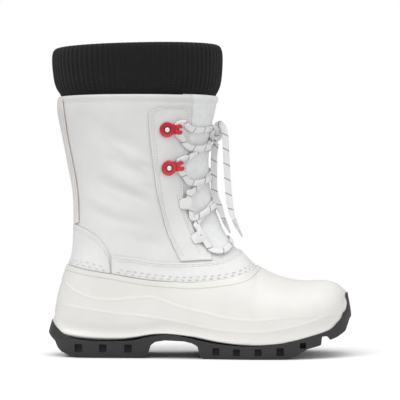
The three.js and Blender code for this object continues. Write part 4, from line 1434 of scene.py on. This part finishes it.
@dataclass
class Outsole:
    """The rubber outsole, with its arch, lugs, side recesses, grooves and wraps at heel and toe."""

    recess_depth: float = 3.6
    groove_wide: float = 5.4
    groove_deep: float = 4.0
    groove_edge: float = 8.0
    PLAN = (
        (-140.5, 17.4, 17.4), (-130, 29, 29), (-112, 36, 36), (-84, 38.4, 37.6), (-50, 39.8, 35),
        (-22, 43.8, 35.8), (8, 49, 41), (38, 53.5, 48), (66, 54.5, 51), (92, 51.3, 50.8), (114, 42.6, 47.6),
        (130, 30.5, 40.5),
        (140.5, 14, 28),
    )
    HEEL, TOE = (-145.0, 0.0), (145.0, 7.5)
    LEAN = ((0, 8, 5), (5, 6, 3.5), (12.5, 2.5, 1.5), (19.5, 0, 0.5), (33, 3.2, 0), (42, 6, 0), (62, 12, 3.6))
    GROUND: Line = (
        (-145, 23), (-141, 19), (-137, 15.6), (-134.6, 9), (-131, 5), (-124, 2.4), (-113, 0.8), (-107, 0),
        (-52, 0), (-49, 3), (-46.5, 12), (-42, 15.6), (-33, 17.2), (-15, 16.6), (-7, 14.6), (-2.5, 12),
        (0, 3), (3, 0), (82, 0), (92, 4.6), (100, 9.6), (110, 12), (112.8, 13), (113.6, 20.9), (119.2, 20.9),
        (121.6, 17.2), (129.5, 20), (137.5, 24.5), (142.6, 35.6), (150, 40), (150, 60),
    )
    EDGE: Line = (
        (138.8, 59.5), (136.2, 47.2), (133.2, 37.7), (128, 32.4), (123, 28), (114.6, 24.7), (90, 18.4),
        (70, 14.6), (45, 12.4),
        (22, 13.8), (5, 16.2), (-12, 20), (-27, 22.2), (-39, 21.8), (-51, 19.8), (-63, 17), (-82, 16),
        (-101, 16.3), (-118, 18.3), (-127, 22), (-135, 28), (-141.6, 34), (-150, 37),
    )
    RECESSES = (
        (-114, 7, 5.2, 13), (-91, 7, 5.2, 13), (-67.3, 7, 5.2, 13), (14.8, 6.4, 3.4, 10.6),
        (33.8, 6.4, 3.2, 9.8), (53.8, 6.4, 3.2, 9.8), (74.2, 6.8, 3.4, 11), (95.3, 6, 10.2, 15.6),
    )

    def inset(self, x: Array, z: float) -> Array:
        """Gives how far the side leans in at a height, from heel to toe."""
        lean = spline(np.array(self.LEAN), 8)
        heel, toe = (np.interp(z, lean[:, 0], lean[:, k]) for k in (1, 2))
        return heel + (toe - heel) * (x - self.HEEL[0]) / (self.TOE[0] - self.HEEL[0])

    def plan(self, inset: Callable[[Array], Array], count: int = 220) -> Array:
        """Draws the sole's outline seen from above, drawn in by a distance that changes with x."""
        outer = [(x, -y) for x, y, _ in self.PLAN]
        inner = [(x, y) for x, _, y in reversed(self.PLAN)]
        ring = np.array([self.HEEL, *outer, self.TOE, *inner])
        steps = 16
        fine = spline(np.vstack([ring[-2:], ring, ring[:3]]), steps)[2 * steps : (2 + len(ring)) * steps + 1]
        even = resample(fine, count + 1)[:-1]
        along = np.roll(even, -1, axis=0) - np.roll(even, 1, axis=0)
        along /= np.linalg.norm(along, axis=1, keepdims=True)
        return even + np.stack([-along[:, 1], along[:, 0]], axis=1) * inset(even[:, 0])[:, None]

    def core(self, inset: float, high: float) -> Piece:
        """Makes the outline, drawn in all round, as a block up to a height."""
        flat = self.plan(lambda x: np.full_like(x, inset), 120)
        return prism("core", [(flat, -5.0), (flat, high)])

    @staticmethod
    def shell_form(off: float) -> Piece:
        """Makes the lower last as a closed solid, larger by a distance."""
        rows, count = 110, 120
        turn = np.linspace(0, 2 * math.pi, count, endpoint=False)
        points = LAST.skin(np.linspace(0, 16, rows)[:, None], turn[None, :], off)
        tip = np.array(TOE_TIP) + (off, 0, 0)
        faces: list[list[int]] = [[rows * count, k, (k + 1) % count] for k in range(count)]
        faces.append([(rows - 1) * count + k for k in range(count)])
        obj = from_faces("form", np.vstack([points.reshape(-1, 3), tip]), faces + tube_faces(rows, count))
        outward(obj)
        return obj

    def pockets(self) -> Piece:
        """Makes the side recesses' and the grooves' cutters as one object."""
        tools = []
        for x, wide, low, high in self.RECESSES:
            left, right = x - wide / 2, x + wide / 2
            corners = [(x, low), (right, low), (right, high), (left, high), (left, low), (x, low)]
            tool = block("pocket", filleted(corners, 0.9)[:-1])
            cut(tool, self.core(self.recess_depth + 2.2, 30), Cut.TAKE)
            tools.append(tool)
        deep = self.groove_deep
        for x, *_ in self.RECESSES[:-1]:
            left, right = x - self.groove_wide / 2, x + self.groove_wide / 2
            tool = block("groove", [(left, -1), (right, -1), (right - 0.9, deep), (left + 0.9, deep)])
            cut(tool, self.core(self.groove_edge, deep + 1), Cut.KEEP)
            tools.append(tool)
        ready()
        for tool in tools:
            tool.select_set(True)
        bpy.context.view_layer.objects.active = tools[0]
        bpy.ops.object.join()
        return tools[0]

    def build(self, w: Wardrobe) -> None:
        """Makes the outsole, paints near-black shade into its recesses and gives the insole its felt."""
        heights = [-1.0, *np.linspace(0, 30, 21), *np.linspace(32, 62, 14)]
        plans = [(self.plan(lambda x, z=z: self.inset(x, max(z, 0))), z) for z in heights]
        sole = prism("rubber_outsole", plans)
        top = [(float(x), float(z)) for x, z in spline(np.array(self.EDGE), 5)]
        cut(sole, block("side", [*filleted(self.GROUND, 1.1), *top]), Cut.KEEP)
        cut(sole, self.shell_form(SHELL_WALL + 2 * GAP), Cut.TAKE)
        cut(sole, self.pockets(), Cut.TAKE)
        outward(sole)
        smooth(sole, 32)
        wear(sole, w.sole, w.painted_recess_shade, slot="rubber_sole", nodes=["outsole"])
        # The recesses' deep faces take the second material, painted near-black shade.
        table = np.array(self.PLAN)
        for face in sole.data.polygons:
            x, y, z = face.center / MM
            if any(abs(x - r[0]) < r[1] / 2 + 0.2 and r[2] - 0.2 < z < r[3] + 0.2 for r in self.RECESSES):
                edge = np.interp(x, table[:, 0], table[:, 1 if y < 0 else 2]) - self.inset(x, z)
                face.material_index = int(abs(y) < edge - 0.7)
        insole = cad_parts["insole"]
        insole.data.materials.clear()
        insole.data.materials.append(w.lining)


@dataclass(frozen=True)
class Seat:
    """A place on the eyestay with its own directions."""

    x: float
    z: float
    side: int
    tilt: float = 0.0

    def matrix(self) -> Array:
        """Gives the seat's forward, up and out directions and its place, as a 4 by 4 table."""
        place = [np.array(value) for value in LAST.place(self.x, self.z, self.side)]
        out = LAST.normal(*place)
        forward = unit(np.array([1.0, 0, 0]) - out * out[0])
        up = np.cross(out, forward)
        turn = math.radians(-self.side * self.tilt)
        c, s = math.cos(turn), math.sin(turn)
        table = np.eye(4)
        table[:3, 0], table[:3, 1], table[:3, 2] = c * forward + s * up, c * up - s * forward, out
        table[:3, 3] = LAST.skin(*place, LEATHER + 2 * GAP)
        return table


def seated(obj: Piece, table: Array) -> Piece:
    """Moves a piece made at the origin onto a seat, in its mesh."""
    matrix = Matrix(table.tolist())
    matrix.translation = Vector(table[:3, 3]) * MM
    obj.data.transform(matrix)
    obj.data.update()
    return obj


HOOKS = (("top", -31.3, 213.5, 2.0), ("low", -29.9, 178.0, 11.0))
LOOPS = (("upper", -14.0, 145.0, 8.0), ("lower", -1.6, 112.6, 30.0))
UPRIGHT = Matrix(((1, 0, 0, 0), (0, 0, -1, 0), (0, 1, 0, 0), (0, 0, 0, 1)))


class Hardware:
    """The red lace hooks, their rivets and the webbing loops."""

    HEAD, REACH, NECK, PRONG, SLOT, PLATE, RISE = 7.1, 13.4, 4.4, 4.85, 1.0, 1.4, 3.0
    RIVET: Line = (
        (0, 0.3), (1.8, 0.3), (1.8, 1.45), (3.5, 1.45), (3.62, 1.6), (3.5, 1.75), (2.35, 1.7), (2.3, 2.0),
        (2.05, 2.35), (1.5, 2.62), (0.7, 2.76), (0, 2.78),
    )
    LOOP: Line = (
        (-7.4, 0.0), (4.4, 0.0), (5.9, 0.5), (6.5, 1.6), (6.1, 2.9), (4.8, 3.6), (2.6, 3.75), (0.2, 3.3),
        (-2.4, 2.2), (-4.8, 1.4), (-7.4, 0.9), (-7.4, 0.0),
    )
    TUNNEL: Line = (
        (0.2, 0.7), (3.8, 0.72), (5.0, 1.0), (5.6, 1.7), (5.2, 2.6), (4.1, 2.95), (2.2, 3.05), (0.6, 2.5),
        (0.2, 0.7),
    )
    LOOP_WIDE, LOOP_BACK, LOOP_FRONT = 11.4, -7.4, 6.6
    RIVET_HEAD = 2.32

    def hook(self, name: str) -> Piece:
        """Makes one hook at the origin: a pear-shaped plate, a riser and a slotted fork."""
        heel, high, top = self.HEAD - 0.6, self.RISE + self.PLATE, self.RISE + 2 * self.PLATE
        turn = np.linspace(0.82, 2 * math.pi - 0.82, 44)
        pear = [(self.HEAD * math.cos(t), self.HEAD * math.sin(t)) for t in turn]
        waist = [(self.HEAD, self.NECK + 0.35), (heel + 2.4, self.NECK)]
        plate = bar([*reversed(waist), *pear, *((x, -y) for x, y in waist)], 0, self.PLATE)
        plate.name = plate.data.name = name
        foot, low, end = 4.0, 0.3, heel + 2.4
        slope = [
            (foot, low), (foot, self.PLATE), (self.HEAD, top), (end, top), (end, high),
            (self.HEAD + 0.6, high), (foot + 1.2, low),
        ]
        riser = bar(slope, -self.NECK, self.NECK)
        riser.data.transform(UPRIGHT)
        outward(riser)
        cut(plate, riser, Cut.JOIN)
        reach, prong = self.REACH, self.PRONG
        lower = [
            (heel, -self.NECK), (heel + 1.2, -self.NECK), (reach - 2.4, -prong), (reach - 1.2, 0.2 - prong),
            (reach - 0.3, 1.1 - prong), (reach, 2.2 - prong), (reach, -self.SLOT),
        ]
        root = [(self.HEAD + 2.6, 0.1 - self.SLOT), (self.HEAD + 1.9, 0), (self.HEAD + 2.6, self.SLOT - 0.1)]
        upper = [(x, -y) for x, y in reversed(lower)]
        cut(plate, bar([*lower, *root, *upper], high, top), Cut.JOIN)
        round_edges(plate, 0.42, 40)
        settle(plate)
        smooth(plate, 35)
        return plate

    def rivet(self, name: str) -> Piece:
        """Makes one domed rivet at the origin by spinning its profile; its flange round the head takes the
        second material, a painted shade ring.
        """
        edges = [(i, i + 1) for i in range(len(self.RIVET) - 1)]
        obj = from_faces(name, np.array([(x, 0, z) for x, z in self.RIVET]), [], edges)
        edit(obj, partial(bpy.ops.mesh.spin, steps=40, angle=2 * math.pi, center=(0, 0, 0), axis=(0, 0, 1)))
        outward(obj)
        smooth(obj, 50)
        obj.data.materials.append(None)
        obj.data.materials.append(None)
        # Faces beyond the head take the second slot: painted shade round the rivet.
        for face in obj.data.polygons:
            face.material_index = int(math.hypot(face.center[0], face.center[1]) > self.RIVET_HEAD * MM)
        return obj

    def loop(self, name: str) -> Piece:
        """Makes one webbing loop at the origin: a folded strap round a tunnel for the lace."""
        half, back, front = self.LOOP_WIDE / 2, self.LOOP_BACK, self.LOOP_FRONT
        body = bar(spline(np.array(self.LOOP), 3)[:-1], -half, half)
        cut(body, bar(spline(np.array(self.TUNNEL), 3)[:-1], -2 * half, 2 * half), Cut.TAKE)
        body.data.transform(UPRIGHT)
        plan = [
            (0, -half), (front, 1.2 - half), (front, half - 1.2), (0, half), (back, half - 1.8),
            (back, 1.8 - half), (0, -half),
        ]
        cut(body, bar(filleted(plan, 1.6)[:-1], -1, 5), Cut.KEEP)
        body.name = body.data.name = name
        round_edges(body, 0.3, 50)
        settle(body)
        smooth(body, 50)
        edit(body, partial(bpy.ops.uv.cube_project, cube_size=0.1))
        return body

    def build(self, w: Wardrobe) -> None:
        """Makes the hooks, rivets and loops of both sides."""
        for side, word in SIDES:
            for name, x, z, tilt in HOOKS:
                table, end = Seat(x, z, side, tilt).matrix(), f"{word}_{name}"
                wear(seated(self.hook(f"red_hook_{end}"), table), w.red, slot="hook", nodes=[f"hook_{end}"])
                rivet = seated(self.rivet(f"domed_rivet_{end}"), table)
                # The second material is the painted shade ring round the rivet.
                wear(rivet, w.rivet, w.rim, slot="rivet", nodes=[f"rivet_{end}"])
            for name, x, z, tilt in LOOPS:
                table, end = Seat(x, z, side, tilt).matrix(), f"{word}_{name}"
                loop = seated(self.loop(f"webbing_loop_{end}"), table)
                wear(loop, w.leather, slot="webbing", nodes=[f"loop_{end}"])


@dataclass(frozen=True)
class Crossing:
    """Where two strands cross: the place near the middle, and the strands' ends."""

    over: Pair
    high: Pair
    low: Pair


CROSSINGS = (
    Crossing((2.4, 197.5), (-17.8, 205.6), (-14.4, 188.4)),
    Crossing((4, 167), (-15.8, 170.6), (-12.6, 157)),
    Crossing((5, 137), (-8.8, 133.8), (-3.8, 123.6)),
)
BAR_TOP = Crossing((6.5, 215), (-16, 221), (-16, 221))
BAR_LOW = Crossing((28, 105), (8.6, 101), (8.6, 101))


class Laces:
    """The lace through loops and hooks, its knot and its two ends."""

    WIDE, THICK, HANGING = 5.5, 2.0, 6.2
    END_OUTER = (
        (0.0162, -0.0056, 0.219), (0.019, -0.0088, 0.2204), (0.0222, -0.0114, 0.217),
        (0.0238, -0.0126, 0.209),
        (0.0244, -0.013, 0.199), (0.0249, -0.013, 0.19), (0.0254, -0.013, 0.181), (0.026, -0.013, 0.171),
        (0.0267, -0.013, 0.161), (0.0275, -0.0128, 0.151), (0.0288, -0.0126, 0.142), (0.031, -0.0124, 0.133),
        (0.0346, -0.0122, 0.124), (0.0402, -0.012, 0.1134),
    )
    END_INNER = (
        (0.0156, -0.0004, 0.2024), (0.0144, -0.001, 0.197), (0.0136, -0.002, 0.19), (0.0134, -0.0026, 0.18),
        (0.0134, -0.003, 0.17), (0.0135, -0.0034, 0.16), (0.015, -0.004, 0.151), (0.0182, -0.005, 0.1426),
        (0.021, -0.006, 0.134), (0.0246, -0.0066, 0.125), (0.0286, -0.007, 0.1166),
    )
    KNOT = (14.6, -4.6, 211.0)
    MIDDLE = 12  # the step of a strand that lies on the middle of the front

    def strand(self, crossing: Crossing, side: int, hump: float = 0.0) -> tuple[Array, Array]:
        """Follows one strand over the tongue.

        Args:
            crossing: Its start on the side given, its middle, and its end on the other side.
            side: The side that it starts on.
            hump: How much higher it lies at the crossing.

        Returns:
            Its points and the directions out.
        """
        a = np.array(LAST.place(*crossing.high, side))
        b = np.array(LAST.place(*crossing.over, OUTER))
        c = np.array(LAST.place(*crossing.low, -side))
        t = np.linspace(0, 1, 2 * self.MIDDLE + 1)[:, None]
        at, angle = ((1 - t) * (1 - 2 * t) * a + 4 * t * (1 - t) * b + t * (2 * t - 1) * c).T
        far = np.abs(2 * t[:, 0] - 1)
        lift = self.THICK / 2 + 2 * GAP + smoothstep(far, 0.4, 0.75) * (LEATHER + 2 * GAP)
        return LAST.skin(at, angle, lift + hump * np.exp(-((far / 0.42) ** 2))), LAST.normal(at, angle)

    @staticmethod
    def through(kind: tuple[str, float, float, float], side: int) -> tuple[Array, Array]:
        """Passes the lace down under a hook's fork or through a loop.

        Args:
            kind: The hook or loop.
            side: OUTER or INNER.

        Returns:
            Its points and the directions out.
        """
        _, x, z, tilt = kind
        table = Seat(x, z, side, tilt).matrix()
        under_fork = [(9.4, 4.4, 2.5), (8.7, 0, 2.75), (9.4, -4.4, 2.5)]
        in_tunnel = [(3.0, 8.0, 2.4), (2.7, 0, 2.8), (3.0, -8.0, 2.4)]
        local = np.array(under_fork if kind in HOOKS else in_tunnel) * (1, -side, 1)
        points = local @ table[:3, :3].T + table[:3, 3]
        return points, np.repeat(table[:3, 2][None], len(points), axis=0)

    def half(self, first: int) -> tuple[Array, Array]:
        """Follows the lace from the knot down to the lowest bar's middle, starting on one side."""
        points, out = self.strand(BAR_TOP, -first)
        runs = [(points[self.MIDDLE :], out[self.MIDDLE :])]
        side = first
        for k, (holder, crossing) in enumerate(zip((*HOOKS, LOOPS[0]), CROSSINGS)):
            runs.append(self.through(holder, side))
            on_top = (k % 2 == 0) == (first == OUTER)
            runs.append(self.strand(crossing, side, self.THICK + GAP if on_top else 0.0))
            side = -side
        runs.append(self.through(LOOPS[1], side))
        points, out = self.strand(BAR_LOW, side)
        runs.append((points[: self.MIDDLE + 1], out[: self.MIDDLE + 1]))
        return np.vstack([r[0] for r in runs]), np.vstack([r[1] for r in runs])

    def build(self, w: Wardrobe) -> None:
        """Makes the threaded lace, the knot and the hanging ends."""
        stands_for = (("crossing_top", "crossing_mid", "crossing_low"), ("bar_top", "bar_low"))
        kernel = np.hanning(9) / np.hanning(9).sum()
        for (side, word), names in zip(SIDES, stands_for):
            points, out = self.half(side)
            padded = np.pad(resample(np.hstack([points, out * 4]), 420), ((4, 4), (0, 0)), mode="edge")
            soft = np.stack([np.convolve(padded[:, k], kernel, "valid") for k in range(6)], axis=1)
            obj = ribbon(f"threaded_lace_{word}", soft[:, :3], unit(soft[:, 3:]), self.WIDE, self.THICK)
            wear(obj, w.lace, slot="lace", nodes=[f"lace_{name}" for name in names])
        self.knot(w)
        self.end("outer", self.END_OUTER, w)
        self.end("inner", self.END_INNER, w)

    def knot(self, w: Wardrobe) -> None:
        """Ties the knot: the lace wound through itself three times, flat sides out."""
        turn = np.linspace(0, 2 * math.pi, 220)
        x, y, z = self.KNOT
        ring, tube = 3.7, 2.5
        c2, s2, c3, s3 = np.cos(2 * turn), np.sin(2 * turn), np.cos(3 * turn), np.sin(3 * turn)
        far = ring + tube * c3
        path = np.stack([x + far * c2 * 0.85, y + tube * s3 * 1.1, z + far * s2 * 1.25], axis=1)
        obj = ribbon("lace_knot_wound", path, np.stack([c3 * c2, s3, c3 * s2], axis=1), 5.0, 2.5)
        wear(obj, w.lace, slot="lace", nodes=["lace_knot"])

    def end(self, word: str, route: Sequence[Triple], w: Wardrobe) -> None:
        """Hangs one free end of the lace, with its pointed tip."""
        path = resample(spline(np.array(route), 8) / MM, 110)
        facing = np.repeat(np.array([[0.25, -1.0, 0.0]]), len(path), axis=0)
        share = np.arange(len(path)) / len(path)
        wide = self.HANGING * (1 - 0.3 * smoothstep(share, 0.68, 0.86))
        flat = 94
        obj = ribbon(f"lace_end_{word}_flat", path[:flat], facing[:flat], wide[:flat], self.THICK, 4.0)
        wear(obj, w.lace, slot="lace", nodes=[f"lace_end_{word}"])
        tip_path, point = path[flat - 2 :], smoothstep(share[flat - 2 :], 0.84, 1.0)
        tip = ribbon(f"lace_tip_{word}", tip_path, facing[flat - 2 :], 4.4 - 2.6 * point, 2.4 - 0.9 * point)
        wear(tip, w.tip, slot="lace")


# Studio


class Studio:
    """The camera, the floor and the lights."""

    LENS, SENSOR = 141.0, 36.0
    AWAY, HIGH = 1.5, 0.148
    AIM = (0, 0, 0.14)
    LIGHTS = (
        ("key", (-1.3, -1.1, 1.6), 0.7, 17.0),
        ("fill", (1.6, -1.0, 0.6), 1.4, 7.0),
        ("top", (0.0, -0.8, 1.9), 2.0, 18.0),
    )
    SKY = (-0.1, 0.7, 0.22, 0.9)  # from and to a height of the view, the light there

    def camera(self) -> None:
        """Sets the camera at the photograph's angle."""
        ready()
        bpy.ops.object.camera_add(location=(0, -self.AWAY, self.HIGH), rotation=(math.pi / 2, 0, 0))
        camera = bpy.context.object
        camera.name = "studio_camera"
        camera.data.lens = self.LENS
        camera.data.sensor_width = self.SENSOR
        bpy.context.scene.camera = camera

    def floor(self) -> None:
        """Lays a pale floor."""
        ready()
        bpy.ops.mesh.primitive_plane_add(size=1.0, location=(0, 0, -0.0002))
        floor = bpy.context.object
        floor.name = "studio_floor"
        s = Shader("studio white", (0.93, 0.93, 0.93), 0.9)
        s.set("Specular IOR Level", 0.1)
        floor.data.materials.append(s.material)

    def surround(self) -> None:
        """Sets a surround that is white to the camera and lights more from above than from below."""
        world = bpy.data.worlds.new("white surround")
        bpy.context.scene.world = world
        world.use_nodes = True
        nodes, link = world.node_tree.nodes, world.node_tree.links.new
        light, paper = nodes["Background"], nodes.new("ShaderNodeBackground")
        for background in (light, paper):
            background.inputs[0].default_value = (1, 1, 1, 1)
        way, rise = nodes.new("ShaderNodeSeparateXYZ"), nodes.new("ShaderNodeMapRange")
        link(nodes.new("ShaderNodeTexCoord").outputs["Generated"], way.inputs[0])
        link(way.outputs["Z"], rise.inputs["Value"])
        for socket, value in zip(("From Min", "From Max", "To Min", "To Max"), self.SKY):
            rise.inputs[socket].default_value = value
        link(rise.outputs["Result"], light.inputs[1])
        both = nodes.new("ShaderNodeMixShader")
        seen = nodes.new("ShaderNodeLightPath").outputs["Is Camera Ray"]
        for source, socket in zip((seen, light.outputs[0], paper.outputs[0]), both.inputs):
            link(source, socket)
        link(both.outputs[0], nodes["World Output"].inputs[0])

    def lights(self) -> None:
        """Hangs the soft lights."""
        for name, place, size, power in self.LIGHTS:
            ready()
            bpy.ops.object.light_add(type="AREA", location=place)
            light = bpy.context.object
            light.name = f"studio_{name}"
            light.data.size = size
            light.data.energy = power
            aim = Vector(self.AIM) - Vector(place)
            light.rotation_euler = aim.to_track_quat("-Z", "Y").to_euler()
        bpy.context.scene.view_settings.view_transform = "Standard"

    def build(self) -> None:
        """Makes the studio."""
        self.camera()
        self.floor()
        self.surround()
        self.lights()


def main() -> None:
    """Builds the boot's pieces in order."""
    logging.basicConfig(level=logging.INFO, format="%(name)s: %(message)s")
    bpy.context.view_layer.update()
    Studio().build()
    wardrobe = Wardrobe()
    for part in (Laces(), Outsole(), Upper(), ShoeShell(), LeatherWork(), Tongue(), Cuff(), Hardware()):
        part.build(wardrobe)
        LOG.info("%s is done", type(part).__name__)


if __name__ == "__main__":
    main()
